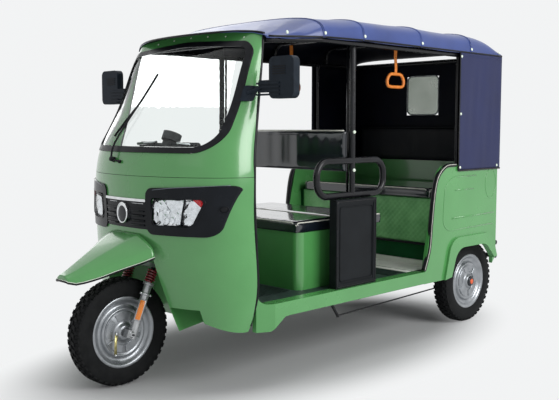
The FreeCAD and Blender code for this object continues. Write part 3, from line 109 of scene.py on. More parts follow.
floor_mesh = bpy.data.meshes.new("studio_floor")
floor_mesh.from_pydata([(-floor_reach, -floor_reach, 0), (floor_reach, -floor_reach, 0),
                        (floor_reach, floor_reach, 0), (-floor_reach, floor_reach, 0)], [], [(0, 1, 2, 3)])
studio_floor = bpy.data.objects.new("studio_floor", floor_mesh)
bpy.context.scene.collection.objects.link(studio_floor)
floor_paint = bpy.data.materials.new("studio_floor")
floor_paint.use_nodes = True
floor_tree = floor_paint.node_tree
floor_tree.nodes["Principled BSDF"].inputs["Base Color"].default_value = floor_shadow_tone
floor_tree.nodes["Principled BSDF"].inputs["Roughness"].default_value = 0.9
floor_spot = floor_tree.nodes.new("ShaderNodeTexCoord")
floor_distance = floor_tree.nodes.new("ShaderNodeVectorMath")
floor_distance.operation = "LENGTH"
floor_shape = floor_tree.nodes.new("ShaderNodeVectorMath")
floor_shape.operation = "MULTIPLY"
floor_shape.inputs[1].default_value = floor_spread
# Painted shadow: within this ellipse round the vehicle the floor keeps its dark diffuse tone, and beyond it
# the floor glows in the surroundings' colour.
floor_shadow_fade = floor_tree.nodes.new("ShaderNodeMapRange")
floor_shadow_fade.interpolation_type = "SMOOTHSTEP"
floor_shadow_fade.inputs["From Min"].default_value = floor_near
floor_shadow_fade.inputs["From Max"].default_value = floor_far
floor_glow = floor_tree.nodes.new("ShaderNodeEmission")
floor_glow.inputs["Color"].default_value = surround_tone
floor_mix = floor_tree.nodes.new("ShaderNodeMixShader")
floor_tree.links.new(floor_spot.outputs["Object"], floor_shape.inputs[0])
floor_tree.links.new(floor_shape.outputs["Vector"], floor_distance.inputs[0])
floor_tree.links.new(floor_distance.outputs["Value"], floor_shadow_fade.inputs["Value"])
floor_tree.links.new(floor_shadow_fade.outputs["Result"], floor_mix.inputs["Fac"])
floor_tree.links.new(floor_tree.nodes["Principled BSDF"].outputs["BSDF"], floor_mix.inputs[1])
floor_tree.links.new(floor_glow.outputs["Emission"], floor_mix.inputs[2])
floor_tree.links.new(floor_mix.outputs["Shader"], floor_tree.nodes["Material Output"].inputs["Surface"])
floor_mesh.materials.append(floor_paint)

for lamp_name, lamp_place, lamp_size, lamp_power, lights_all in (
        ("side_box", (6.1, 0.7, 3.5), 3.6, 310, True), ("front_box", (1.0, -6.5, 4.2), 3.0, 8, True),
        ("top_box", (0.6, 0.4, 6.0), 4.0, 125, True), ("shine_box", (-5.0, 2.0, 3.1), 3.6, 55, False)):
    lamp_data = bpy.data.lights.new(lamp_name, "AREA")
    lamp_data.size = lamp_size
    lamp_data.energy = lamp_power
    lamp = bpy.data.objects.new(lamp_name, lamp_data)
    bpy.context.scene.collection.objects.link(lamp)
    lamp.location = lamp_place
    lamp.visible_diffuse = lights_all
    lamp.rotation_euler = (lamp_aim - lamp.location).to_track_quat("-Z", "Y").to_euler()

# Tyres: black road rubber, ribbed shoulders and a blocky tread, one on the fork and two behind.
# The carcass is turned, and its lugs are copies set evenly round it.
tread_floor = 0.2445
tread_top = 0.2498
shoulder_top = 0.2335
carcass_profile = ((0.0337, 0.1565), (0.0400, 0.1610), (0.0445, 0.1690), (0.0472, 0.1830), (0.0480, 0.1990),
                   (0.0473, 0.2140), (0.0450, 0.2270), (0.0415, 0.2370), (0.0360, 0.2420), (0.0200, 0.2445),
                   (0.0, 0.2450))
lug_count = 44
turn_steps = 96
both_sides = ((1, "left"), (-1, "right"))


def tone(red, green, blue):
    """A colour as it shows on a screen, 0 to 255 a channel, as the share of light it sends back."""
    shares = [part / 255 for part in (red, green, blue)]
    return tuple(part / 12.92 if part <= 0.04 else ((part + 0.055) / 1.055) ** 2.4 for part in shares)


def made_of(name, tones, grain=14.0, rough=(0.4, 0.5), bump=0.0, bump_grain=400.0, **settings):
    """A surface whose tone and roughness wander with its place, and whose face has a fine grain.

    The two tones are as a screen shows them, 0 to 255 a channel.
    """
    material = bpy.data.materials.new(name)
    material.use_nodes = True
    tree = material.node_tree
    shader = tree.nodes["Principled BSDF"]
    place = tree.nodes.new("ShaderNodeTexCoord")
    cloud = tree.nodes.new("ShaderNodeTexNoise")
    cloud.inputs["Scale"].default_value = grain
    cloud.inputs["Detail"].default_value = 5
    ramp = tree.nodes.new("ShaderNodeValToRGB")
    ramp.color_ramp.elements[0].position = 0.32
    ramp.color_ramp.elements[0].color = (*tone(*tones[0]), 1)
    ramp.color_ramp.elements[1].position = 0.68
    ramp.color_ramp.elements[1].color = (*tone(*tones[1]), 1)
    spread = tree.nodes.new("ShaderNodeMapRange")
    spread.inputs["From Min"].default_value = 0.3
    spread.inputs["From Max"].default_value = 0.7
    spread.inputs["To Min"].default_value = rough[0]
    spread.inputs["To Max"].default_value = rough[1]
    tree.links.new(place.outputs["Object"], cloud.inputs["Vector"])
    tree.links.new(cloud.outputs["Fac"], ramp.inputs["Fac"])
    tree.links.new(ramp.outputs["Color"], shader.inputs["Base Color"])
    tree.links.new(cloud.outputs["Fac"], spread.inputs["Value"])
    tree.links.new(spread.outputs["Result"], shader.inputs["Roughness"])
    if bump:
        fine = tree.nodes.new("ShaderNodeTexNoise")
        fine.inputs["Scale"].default_value = bump_grain
        relief = tree.nodes.new("ShaderNodeBump")
        relief.inputs["Strength"].default_value = bump
        relief.inputs["Distance"].default_value = 0.001
        tree.links.new(place.outputs["Object"], fine.inputs["Vector"])
        tree.links.new(fine.outputs["Fac"], relief.inputs["Height"])
        tree.links.new(relief.outputs["Normal"], shader.inputs["Normal"])
    for socket, value in settings.items():
        shader.inputs[socket.replace("_", " ").title().replace("Ior", "IOR")].default_value = value
    return material


def shaped(name, points, faces, material, smooth=True):
    """A mesh object from its points and faces, wound outwards."""
    mesh = bpy.data.meshes.new(name)
    mesh.from_pydata([tuple(point) for point in points], [], faces)
    work = bmesh.new()
    work.from_mesh(mesh)
    bmesh.ops.remove_doubles(work, verts=work.verts, dist=1e-6)
    bmesh.ops.recalc_face_normals(work, faces=work.faces)
    for face in work.faces:
        face.smooth = smooth
    work.to_mesh(mesh)
    work.free()
    mesh.materials.append(material)
    piece = bpy.data.objects.new(name, mesh)
    bpy.context.scene.collection.objects.link(piece)
    return piece


def quads(rows, columns, rows_meet=False, columns_meet=True):
    """The faces between neighbouring rows of points that each hold the same number of them."""
    faces = []
    for row in range(rows if rows_meet else rows - 1):
        low, high = row * columns, (row + 1) % rows * columns
        for column in range(columns if columns_meet else columns - 1):
            beside = (column + 1) % columns
            faces.append((low + column, low + beside, high + beside, high + column))
    return faces


def turned(profile, centre, steps=turn_steps, closed=True):
    """Points and faces of an outline (along, radius) turned about the line of the wheel's axle."""
    points = []
    for step in range(steps):
        angle = 2 * math.pi * step / steps
        points += [centre + Vector((along, radius * math.sin(angle), radius * math.cos(angle)))
                   for along, radius in profile]
    return points, quads(steps, len(profile), True, closed)


def copier(name, material, **kinds):
    """A node tree that puts a given shape on points: the tree, its inputs and the node that copies."""
    tree = bpy.data.node_groups.new(name, "GeometryNodeTree")
    tree.interface.new_socket("Geometry", in_out="OUTPUT", socket_type="NodeSocketGeometry")
    for word, kind in {**kinds, "Shape": "Object"}.items():
        tree.interface.new_socket(word, in_out="INPUT", socket_type="NodeSocket" + kind)
    given = tree.nodes.new("NodeGroupInput")
    source = tree.nodes.new("GeometryNodeObjectInfo")
    copies = tree.nodes.new("GeometryNodeInstanceOnPoints")
    real = tree.nodes.new("GeometryNodeRealizeInstances")
    coat = tree.nodes.new("GeometryNodeSetMaterial")
    coat.inputs["Material"].default_value = material
    result = tree.nodes.new("NodeGroupOutput")
    tree.links.new(given.outputs["Shape"], source.inputs["Object"])
    tree.links.new(source.outputs["Geometry"], copies.inputs["Instance"])
    tree.links.new(copies.outputs["Instances"], real.inputs["Geometry"])
    tree.links.new(real.outputs["Geometry"], coat.inputs["Geometry"])
    tree.links.new(coat.outputs["Geometry"], result.inputs["Geometry"])
    return tree, given, copies


def around(name, shape, count, centre, material):
    """Copies of a shape turned evenly about an axle line through a centre, as one plain mesh."""
    tree, given, copies = copier(name, material, Count="Int", Centre="Vector")
    spots = tree.nodes.new("GeometryNodePoints")
    number = tree.nodes.new("GeometryNodeInputIndex")
    share = tree.nodes.new("ShaderNodeMath")
    share.operation = "DIVIDE"
    full = tree.nodes.new("ShaderNodeMath")
    full.operation = "MULTIPLY"
    full.inputs[1].default_value = 2 * math.pi
    turn = tree.nodes.new("ShaderNodeCombineXYZ")
    tree.links.new(given.outputs["Count"], spots.inputs["Count"])
    tree.links.new(given.outputs["Centre"], spots.inputs["Position"])
    tree.links.new(number.outputs["Index"], share.inputs[0])
    tree.links.new(given.outputs["Count"], share.inputs[1])
    tree.links.new(share.outputs[0], full.inputs[0])
    tree.links.new(full.outputs[0], turn.inputs["X"])
    tree.links.new(spots.outputs["Points"], copies.inputs["Points"])
    tree.links.new(turn.outputs["Vector"], copies.inputs["Rotation"])
    return made_plain(name, tree, {"Count": count, "Centre": tuple(centre), "Shape": shape}, [shape])


def made_plain(name, tree, values, used_up):
    """Runs a tree on an empty mesh, keeps the result as a plain mesh and removes what made it."""
    holder = bpy.data.objects.new(name + "_maker", bpy.data.meshes.new(name + "_maker"))
    bpy.context.scene.collection.objects.link(holder)
    maker = holder.modifiers.new("maker", "NODES")
    maker.node_group = tree
    for word, value in values.items():
        maker[tree.interface.items_tree[word].identifier] = value
    bpy.context.view_layer.update()
    reached = holder.evaluated_get(bpy.context.evaluated_depsgraph_get())
    mesh = bpy.data.meshes.new_from_object(reached)
    mesh.name = name
    for spare in [holder, *used_up]:
        bpy.data.objects.remove(spare)
    piece = bpy.data.objects.new(name, mesh)
    bpy.context.scene.collection.objects.link(piece)
    return piece


def joined(name, pieces):
    """Several objects become one mesh under the first one's materials and their own."""
    for other in bpy.context.selected_objects:
        other.select_set(False)
    for piece in pieces:
        piece.select_set(True)
    bpy.context.view_layer.objects.active = pieces[0]
    bpy.ops.object.join()
    pieces[0].name = name
    return pieces[0]


def fitted(piece, body, slot, *stands_for):
    """Puts a finished piece on its body and hides the CAD solids that it stands for; slot is not used."""
    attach(piece, body)
    if stands_for:
        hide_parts(*stands_for)
    return piece


def lug(across, heights, reach, slant):
    """A tread block: across gives its two sides, heights its outer radii there, reach its length."""
    points = []
    for radius_pair, shrink in (((tread_floor - 0.004,) * 2, 1.0), (heights, 0.82)):
        for side, radius in zip(across, radius_pair):
            for end in (-1, 1):
                lean = slant * (side - across[0])
                points.append(Vector((side, end * reach / 2 * shrink + lean, radius)))
    faces = [(0, 1, 3, 2), (4, 6, 7, 5), (0, 2, 6, 4), (1, 5, 7, 3), (0, 4, 5, 1), (2, 3, 7, 6)]
    return points, faces


rubber = made_of("tyre_rubber", ((15.56, 16.76, 17.89), (28.58, 29.31, 30.02)), grain=30, rough=(0.6, 0.78),
                 bump=0.25, bump_grain=900, specular_ior_level=0.12)
lug_points = []
lug_faces = []
for across, heights, reach, slant, shift in (
        ((0.024, 0.0462), (tread_top, shoulder_top), 0.0205, 0.10, 0.0),
        ((-0.024, -0.0462), (tread_top, shoulder_top), 0.0205, -0.10, 0.5),
        ((0.0015, 0.0215), (tread_top, tread_top), 0.0225, -0.35, 0.25),
        ((-0.0015, -0.0215), (tread_top, tread_top), 0.0225, 0.35, 0.75)):
    block_points, block_faces = lug(across, heights, reach, slant)
    swing = Matrix.Rotation(2 * math.pi / lug_count * shift, 3, "X")
    lug_faces += [tuple(index + len(lug_points) for index in face) for face in block_faces]
    lug_points += [swing @ point for point in block_points]
whole_profile = list(carcass_profile) + [(-along, radius) for along, radius in reversed(carcass_profile[:-1])]
for wheel, joint in (("front_tyre", "front_wheel_spin"), ("rear_tyre_left", "rear_wheel_left_spin"),
                     ("rear_tyre_right", "rear_wheel_right_spin")):
    hub_middle = Vector(sum(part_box(wheel), Vector()) / 2)
    tread = around(wheel + "_tread", shaped("lug_shape", lug_points, lug_faces, rubber, False), lug_count,
                   hub_middle, rubber)
    carcass = shaped(wheel + "_carcass", *turned(whole_profile, hub_middle), rubber)
    tyre = joined(wheel + "_rubber", [carcass, tread])
    fitted(tyre, joint.replace("_spin", ""), "tyre", wheel)

# Rims: pressed steel dishes painted silver grey, with a rolled lip and a raised ring round shallow
# pads. The rear ones carry a dark grease cap with an orange seal.
rim_outer = ((0.056, 0.006), (0.056, 0.030), (0.0535, 0.034), (0.050, 0.0365), (0.043, 0.040),
             (0.0385, 0.044), (0.0372, 0.052), (0.0368, 0.096), (0.0345, 0.101), (0.0392, 0.104),
             (0.0402, 0.108), (0.0390, 0.112), (0.0300, 0.115), (0.0225, 0.120), (0.0220, 0.130),
             (0.0265, 0.139), (0.0340, 0.1448), (0.0410, 0.1495), (0.0436, 0.1545), (0.0440, 0.160),
             (0.0436, 0.1645), (0.0415, 0.1658), (0.0392, 0.1640), (0.0388, 0.1570), (0.0300, 0.1540),
             (0.0, 0.1400))
pad_count = 5
pad_swing = math.radians(29)


def rim_pad(side):
    """One shallow pad of the dish: a sector between the hub and the raised ring."""
    points = []
    faces = []
    steps = 10
    for height, shrink in ((0.0362, 0.0), (0.0400, 0.0), (0.0412, 0.0016)):
        for radius in (0.058 + shrink, 0.0955 - shrink):
            for step in range(steps + 1):
                angle = (step / steps * 2 - 1) * (pad_swing - shrink / radius)
                points.append(Vector((side * height, radius * math.sin(angle), radius * math.cos(angle))))
    row = steps + 1
    for layer in range(2):
        low = layer * 2 * row
        high = low + 2 * row
        for step in range(steps):
            faces.append((low + step, low + step + 1, high + step + 1, high + step))
            faces.append((low + row + step, high + row + step, high + row + step + 1, low + row + step + 1))
        faces.append((low, high, high + row, low + row))
        faces.append((low + steps, low + row + steps, high + row + steps, high + steps))
    for layer in (0, 4 * row):
        faces += [(layer + step, layer + step + 1, layer + row + step + 1, layer + row + step)
                  for step in range(steps)]
    return points, faces


rim_silver = made_of("rim_silver", ((138, 142, 146), (160, 163, 167)), grain=22, rough=(0.26, 0.38),
                     bump=0.12, bump_grain=700, metallic=0.75)
seal_orange = made_of("seal_orange", ((214, 84, 40), (235, 100, 50)), rough=(0.35, 0.45))
cap_dark = made_of("cap_dark", ((34, 36, 40), (52, 54, 58)), grain=60, rough=(0.3, 0.45), metallic=0.4)
pad_points = []
pad_faces = []
for side in (1, -1):
    some_points, some_faces = rim_pad(side)
    pad_faces += [tuple(index + len(pad_points) for index in face) for face in some_faces]
    pad_points += some_points
rim_profile = list(rim_outer) + [(-along, radius) for along, radius in reversed(rim_outer)]
for wheel, joint, outside in (("front_rim", "front_wheel_spin", 0),
                              ("rear_rim_left", "rear_wheel_left_spin", 1),
                              ("rear_rim_right", "rear_wheel_right_spin", -1)):
    hub_middle = Vector(sum(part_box(wheel), Vector()) / 2)
    dish = shaped(wheel + "_dish", *turned(rim_profile, hub_middle), rim_silver)
    pads = around(wheel + "_pads", shaped("pad_shape", pad_points, pad_faces, rim_silver, False), pad_count,
                  hub_middle, rim_silver)
    fitted(joined(wheel + "_pressing", [dish, pads]), joint.replace("_spin", ""), "silver_paint", wheel)
    if outside:
        for name, depth, profile, finish in (
                ("cap", 0.056, ((0, 0.0), (0, 0.031), (0.006, 0.030), (0.010, 0.026), (0.0105, 0.0)),
                 cap_dark),
                ("seal", 0.0662, ((0, 0.0), (0, 0.016), (0.0025, 0.015), (0.003, 0.0)), seal_orange)):
            shape = [(outside * (depth + along), radius) for along, radius in profile]
            fitted(shaped(f"{wheel}_{name}", *turned(shape, hub_middle, 40, False), finish),
                   joint.replace("_spin", ""), "silver_paint")

# Front fork: silver telescopic legs with dark red coil springs, each with a clamp band, an orange
# reflector in a silver frame and an axle nut. A plated lever stands on the brake plate.
leg_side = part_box("fork_springs")[1].x - 0.026
steer_line = Vector((0, 0.38107, 0.92455))
steer_ahead = Vector((0, -0.92455, 0.38107))
steer_foot = joint_at["steering_hinge"]
coil_low = 0.2465
coil_high = 0.3195
coil_turns = 5
coil_wire = 0.0052
coil_radius = 0.0205
band_low = 0.150
clamp_along = 0.192
lever_across = 0.0640


def by_leg(sign, along, sideways=0.0, ahead_by=0.0):
    """A point by a fork leg, by its place along the leg and how far it lies outside and ahead."""
    return (steer_foot + steer_line * along + steer_ahead * ahead_by
            + Vector((sign * (leg_side + sideways), 0, 0)))


def swept(line, radius, sides=10, closed=False, flat=1.0):
    """Points and faces of a tube along a line of points; flat below 1 thins it sideways."""
    count = len(line)
    rings = []
    normal = None
    for index, place in enumerate(line):
        before = line[index - 1] if index or closed else place
        after = line[(index + 1) % count] if index < count - 1 or closed else place
        along = (after - before).normalized()
        if normal is None:
            normal = along.orthogonal().normalized()
            if abs(along.x) < 0.9:
                normal = (Vector((1, 0, 0)) - along * along.x).normalized()
        normal = (normal - along * normal.dot(along)).normalized()
        other = along.cross(normal)
        width = radius[index] if isinstance(radius, (list, tuple)) else radius
        rings.append([place + normal * width * flat * math.cos(2 * math.pi * side / sides)
                      + other * width * math.sin(2 * math.pi * side / sides) for side in range(sides)])
    points = [point for ring in rings for point in ring]
    faces = quads(count, sides, closed)
    if not closed:
        faces.append(tuple(reversed(range(sides))))
        faces.append(tuple((count - 1) * sides + side for side in range(sides)))
    return points, faces


def tube(name, material, line, radius, sides=10, closed=False, flat=1.0):
    """A piece swept along a line of points."""
    return shaped(name, *swept(line, radius, sides, closed, flat), material)


def bent(corners, bend, closed=False, steps=6):
    """A line of points through corners, each rounded by a curve that starts a bend away from it."""
    line = []
    count = len(corners)
    for index, corner in enumerate(corners):
        if not closed and index in (0, count - 1):
            line.append(corner.copy())
            continue
        before = corners[index - 1]
        after = corners[(index + 1) % count]
        room = min(bend, (corner - before).length / 2.02, (after - corner).length / 2.02)
        start = corner + (before - corner).normalized() * room
        end = corner + (after - corner).normalized() * room
        for step in range(steps + 1):
            share = step / steps
            line.append(start * (1 - share) ** 2 + corner * 2 * share * (1 - share) + end * share ** 2)
    return line


def plate(outline, place, thickness, edge):
    """Points and faces of a flat plate with eased edges; place turns (u, v, w) into a point."""
    count = len(outline)
    middle = sum((Vector(point) for point in outline), Vector((0, 0))) / count
    points = []
    for depth, inset in ((0, edge), (edge, 0), (thickness - edge, 0), (thickness, edge)):
        for point in outline:
            away = Vector(point) - middle
            spot = middle + away * (1 - inset / max(away.length, inset * 2, 1e-6))
            points.append(place(spot.x, spot.y, depth))
    ends = [tuple(reversed(range(count))), tuple(range(3 * count, 4 * count))]
    return points, ends + quads(4, count)


def round_corners(half_u, half_v, radius, steps=4):
    """The outline of a rounded rectangle about the middle."""
    outline = []
    for sign_u, sign_v, start in ((1, 1, 0), (-1, 1, 90), (-1, -1, 180), (1, -1, 270)):
        for step in range(steps + 1):
            angle = math.radians(start + 90 * step / steps)
            outline.append((sign_u * (half_u - radius) + radius * math.cos(angle),
                            sign_v * (half_v - radius) + radius * math.sin(angle)))
    return outline


def painted(material, *nodes):
    """Gives CAD nodes that keep their own shape a finish of their own."""
    for node in nodes:
        mesh = bpy.data.objects[node].data
        mesh.materials.clear()
        mesh.materials.append(material)


fork_silver = made_of("fork_silver", ((150, 152, 154), (182, 184, 186)), grain=18, rough=(0.28, 0.4),
                      bump=0.1, bump_grain=600, metallic=0.6)
spring_red = made_of("spring_red", ((96, 14, 26), (140, 24, 38)), rough=(0.18, 0.3), coat_weight=0.5)
reflector_orange = made_of("reflector_orange", ((226, 118, 12), (250, 146, 20)), grain=260,
                           rough=(0.12, 0.25), bump=0.5, bump_grain=420, coat_weight=0.6)
bright_steel = made_of("bright_steel", ((176, 178, 180), (206, 208, 210)), rough=(0.16, 0.28), metallic=0.9)
lever_brass = made_of("lever_brass", ((160, 150, 96), (196, 186, 130)), grain=90, rough=(0.25, 0.4),
                      metallic=0.8)
painted(fork_silver, "fork")
for sign, word in both_sides:
    coil = []
    for step in range(coil_turns * 16 + 1):
        angle = 2 * math.pi * step / 16
        along = coil_low + coil_wire + (coil_high - coil_low - 2 * coil_wire) * step / (coil_turns * 16)
        coil.append(by_leg(sign, along, coil_radius * math.cos(angle), coil_radius * math.sin(angle)))
    spring = tube("spring_coil_" + word, spring_red, coil, coil_wire, 8)
    core = tube("spring_core_" + word, cap_dark, [by_leg(sign, coil_low), by_leg(sign, coil_high)], 0.011, 16)
    fitted(spring, "steering", "red_paint", *(["fork_springs"] if sign == 1 else []))
    fitted(core, "steering", "silver_paint")
    collars = []
    for low, high, wide in ((coil_low - 0.012, coil_low + 0.001, 0.0255),
                            (coil_low - 0.002, coil_low + 0.001, 0.0268),
                            (band_low + 0.035, band_low + 0.049, 0.0225)):
        line = [by_leg(sign, along) for along in (low, (low + high) / 2, high)]
        collars.append(tube("collar", fork_silver, line, [wide - 0.001, wide, wide - 0.001], 28))
    for reach in (0.034, -0.034):
        bolt = [by_leg(sign, clamp_along, 0.004, reach * part) for part in (0.6, 0.95, 1)]
        collars.append(tube("clamp_bolt", bright_steel, bolt, [0.0065, 0.0065, 0.0045], 12))
    fitted(joined("leg_bands_" + word, collars), "steering", "silver_paint")
    outward = (Vector((sign * 0.80, 0, 0)) + steer_ahead * 0.60).normalized()
    across = outward.cross(steer_line).normalized()
    for name, half_wide, half_long, start, depth, finish in (
            ("reflector_frame", 0.0150, 0.0500, 0.0185, 0.0045, fork_silver),
            ("reflector", 0.0112, 0.0450, 0.0228, 0.0032, reflector_orange)):
        seat = by_leg(sign, 0.116)
        body = plate(round_corners(half_wide, half_long, 0.0035),
                     lambda u, v, w: seat + across * u + steer_line * v + outward * (start + w),
                     depth, 0.0008)
        fitted(shaped(f"{name}_{word}", *body, finish), "steering", "silver_paint")
    nut_seat = joint_at["front_wheel_spin"] + Vector((sign * (leg_side + 0.0152), 0, 0))
    nut_parts = []
    for name, profile, corners, finish, smooth in (
            ("washer", ((0, 0), (0, 0.0145), (0.002, 0.0145), (0.002, 0)), 28, bright_steel, True),
            ("nut", ((0.002, 0), (0.002, 0.0115), (0.008, 0.0115), (0.0095, 0.0098), (0.0095, 0)), 6,
             bright_steel, False),
            ("stud", ((0.008, 0.0052), (0.015, 0.0052), (0.016, 0.004), (0.016, 0)), 16, cap_dark, True)):
        shape = [(sign * along, radius) for along, radius in profile]
        nut_parts.append(shaped(name, *turned(shape, nut_seat, corners, False), finish, smooth))
    fitted(joined("axle_nut_" + word, nut_parts), "steering", "silver_paint")
lever_line = [Vector((lever_across, -1.150, 0.254)), Vector((lever_across, -1.156, 0.206)),
              Vector((lever_across, -1.157, 0.158))]
brake_lever = tube("brake_lever", lever_brass, lever_line, [0.0085, 0.0068, 0.0075], 12, flat=0.22)
lever_pin = shaped("lever_pin", *turned([(-0.002, 0), (-0.002, 0.006), (0.004, 0.006), (0.005, 0.004),
                                         (0.005, 0)], lever_line[0], 16, False), bright_steel)
lever_eye = shaped("lever_eye", *turned([(-0.003, 0), (-0.003, 0.005), (0.006, 0.005), (0.006, 0)],
                                        lever_line[-1], 16, False), bright_steel)
fitted(joined("front_brake_lever", [brake_lever, lever_pin, lever_eye]), "steering", "aluminium")

# Handlebar: black tube under a round meter, moulded rubber grips and two lever arms.
grip_rubber = made_of("grip_rubber", ((22, 24, 27), (34, 36, 40)), grain=40, rough=(0.55, 0.7), bump=0.4,
                      bump_grain=260)
painted(grip_rubber, "handlebar")
bar_low, bar_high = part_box("handlebar")
bar_place = Vector((0, (bar_low.y + bar_high.y) / 2 - 0.012, (bar_low.z + bar_high.z) / 2 + 0.004))
lever_arms = []
for sign in (1, -1):
    line = bent([bar_place + Vector((sign * 0.085, -0.020, 0.0)),
                 bar_place + Vector((sign * 0.105, -0.050, -0.004)),
                 bar_place + Vector((sign * 0.205, -0.048, -0.010))], 0.03)
    lever_arms.append(tube("lever_arm", bright_steel, line, [0.006] * (len(line) - 1) + [0.008], 10))
fitted(joined("handlebar_levers", lever_arms), "steering", "aluminium")

# Front fender: a pressed beak with a flat top, a crease to each side, a pale line and a black
# rubber lip along its lower edge. It is bolted under the nose.
fender_half_section = ((1.0, 0.0), (0.985, 0.20), (0.93, 0.44), (0.74, 0.72), (0.47, 0.965), (0.24, 0.99),
                       (0.0, 1.0))
fender_creases = (2, 4)
fender_stations = (0.0, 0.012, 0.09, 0.17, 0.26, 0.37, 0.50, 0.64, 0.78, 0.90, 1.0)


def modify(piece, kind, **settings):
    """Gives a piece a modifier with its settings."""
    modifier = piece.modifiers.new(kind.lower(), kind)
    for word, value in settings.items():
        setattr(modifier, word, value)


def tree_of(*nodes):
    """A search tree over the outsides of CAD nodes."""
    points = []
    faces = []
    for node in nodes:
        mesh = bpy.data.objects[node].data
        faces += [tuple(index + len(points) for index in face.vertices) for face in mesh.polygons]
        points += [vertex.co.copy() for vertex in mesh.vertices]
    return BVHTree.FromPolygons(points, faces)


green_paint = made_of("green_paint", ((73, 140, 75), (81, 150, 83)), grain=3.0, rough=(0.20, 0.30),
                      bump=0.05, bump_grain=1200, coat_weight=0.6, coat_roughness=0.08)
edge_rubber = made_of("edge_rubber", ((8, 9, 13), (16, 18, 23)), grain=50, rough=(0.3, 0.42), bump=0.15,
                      bump_grain=500, specular_ior_level=0.2)
pale_line = made_of("pale_line", ((208, 222, 204), (226, 236, 222)), rough=(0.3, 0.4))
fender_tree = tree_of("front_fender")
fender_low, fender_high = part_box("front_fender")
fender_rows = []
for share in fender_stations:
    back = fender_low.y + 0.0015 + (fender_high.y - fender_low.y - 0.003) * share
    tops = [fender_tree.ray_cast(Vector((across, back, 2)), Vector((0, 0, -1)))[0]
            for across in (0, 0.03, 0.06)]
    top = max((spot for spot in tops if spot is not None), key=lambda spot: spot.z, default=None)
    if top is None:
        continue
    edge = None
    wide = 0
    for step in range(60):
        level = fender_low.z + 0.0005 + (top.z - fender_low.z) * step / 60
        hit = fender_tree.ray_cast(Vector((0.5, back, level)), Vector((-1, 0, 0)))[0]
        if hit is not None and hit.x > 0:
            edge = level if edge is None else edge
            wide = max(wide, hit.x)
    fender_rows.append((back, wide, edge, top.z - edge))
fender_points = []
for back, wide, low, tall in fender_rows:
    half = [(wide * across, low + tall * up) for across, up in fender_half_section]
    row = half + [(-across, up) for across, up in reversed(half[:-1])]
    fender_points += [(across, back, up) for across, up in row]
row_size = 2 * len(fender_half_section) - 1
fender_faces = quads(len(fender_rows), row_size, columns_meet=False)
fender_faces.append(tuple(range(row_size)))
fender = shaped("fender_shell", fender_points, fender_faces, green_paint)
modify(fender, "SUBSURF", levels=2, render_levels=2)
work = bmesh.new()
work.from_mesh(fender.data)
crease_layer = work.edges.layers.float.new("crease_edge")
for edge in work.edges:
    first, second = (vertex.co for vertex in edge.verts)
    if abs(first.y - second.y) < 0.004:
        continue
    for back, wide, low, tall in fender_rows:
        if abs(first.y - back) > 1e-5:
            continue
        for index in fender_creases:
            across, up = fender_half_section[index]
            if abs(abs(first.x) - wide * across) < 1e-4 and abs(first.z - low - tall * up) < 1e-4:
                edge[crease_layer] = 0.75
work.to_mesh(fender.data)
work.free()
modify(fender, "SOLIDIFY", thickness=0.0025, offset=-1)
fitted(fender, "chassis", "green_paint", "front_fender")
lip_line = [Vector((wide, back, low)) for back, wide, low, tall in reversed(fender_rows)]
lip_line += [Vector((-place.x, place.y, place.z)) for place in reversed(lip_line)]
lip_line = [place for index, place in enumerate(lip_line) if index == 0
            or (place - lip_line[index - 1]).length > 1e-4]
fitted(tube("fender_lip", edge_rubber, [place + Vector((0, 0, -0.001)) for place in lip_line], 0.0042, 8),
       "chassis", "black_rubber")
pale_spots = [place + Vector((place.x * 0.012, -0.0006, 0.0048)) for place in lip_line]
fitted(tube("fender_line", pale_line, pale_spots, 0.0014, 6), "chassis", "green_paint")

# Cab: one painted shell with a waist seam. Black moulding edges it behind and between the rivets of
# its header band, and a glossy black bezel with a clear lamp sits on each side of the slatted grille.
nose_edge = ((0.2995, 0.506, -0.7395), (0.4495, 0.535, -0.7192), (0.6495, 0.540, -0.7301),
             (0.8495, 0.540, -0.7401), (1.0002, 0.535, -0.7351), (1.0797, 0.525, -0.7251),
             (1.2002, 0.508, -0.6969), (1.4003, 0.487, -0.6551), (1.5701, 0.468, -0.6200),
             (1.612, 0.463, -0.6110))
lens_corners = ((0.197, 0.866), (0.440, 0.876), (0.386, 0.757), (0.199, 0.753))
lens_outline = ((0.206, 0.866), (0.287, 0.873), (0.425, 0.877), (0.437, 0.871), (0.441, 0.856),
                (0.414, 0.790), (0.398, 0.764), (0.376, 0.756), (0.215, 0.751), (0.197, 0.757),
                (0.191, 0.783), (0.196, 0.845))


def smooth_line(corners, steps=6):
    """A smooth line of points that passes through every corner."""
    line = []
    for index in range(len(corners) - 1):
        before = corners[max(index - 1, 0)]
        first = corners[index]
        second = corners[index + 1]
        after = corners[min(index + 2, len(corners) - 1)]
        for step in range(steps):
            share = step / steps
            line.append(0.5 * (2 * first + (second - before) * share
                               + (2 * before - 5 * first + 4 * second - after) * share ** 2
                               + (3 * first - before - 3 * second + after) * share ** 3))
    line.append(corners[-1].copy())
    return line


skin = tree_of("nose_panel", "windscreen_frame", "headlamp_bezels", "headlamps", "grille", "screen_gasket",
               "windscreen")


def on_skin(across, up, lift):
    """The point of the cab's front at a width and height, lifted off it; hairline gaps are bridged."""
    tries = [skin.ray_cast(Vector((across + aside, -2, up + above)), Vector((0, 1, 0)))[:2]
             for aside, above in ((0, 0), (0.0015, 0), (-0.0015, 0), (0, 0.0015), (0, -0.0015))]
    hits = [found for found in tries if found[0] is not None]
    place, normal = hits[0] if hits[0][0].y < min(found[0].y for found in hits) + 0.004 else min(
        hits, key=lambda found: found[0].y)
    place = Vector((across, place.y, up))
    if normal.y > 0:
        normal = -normal
    return place + normal * lift


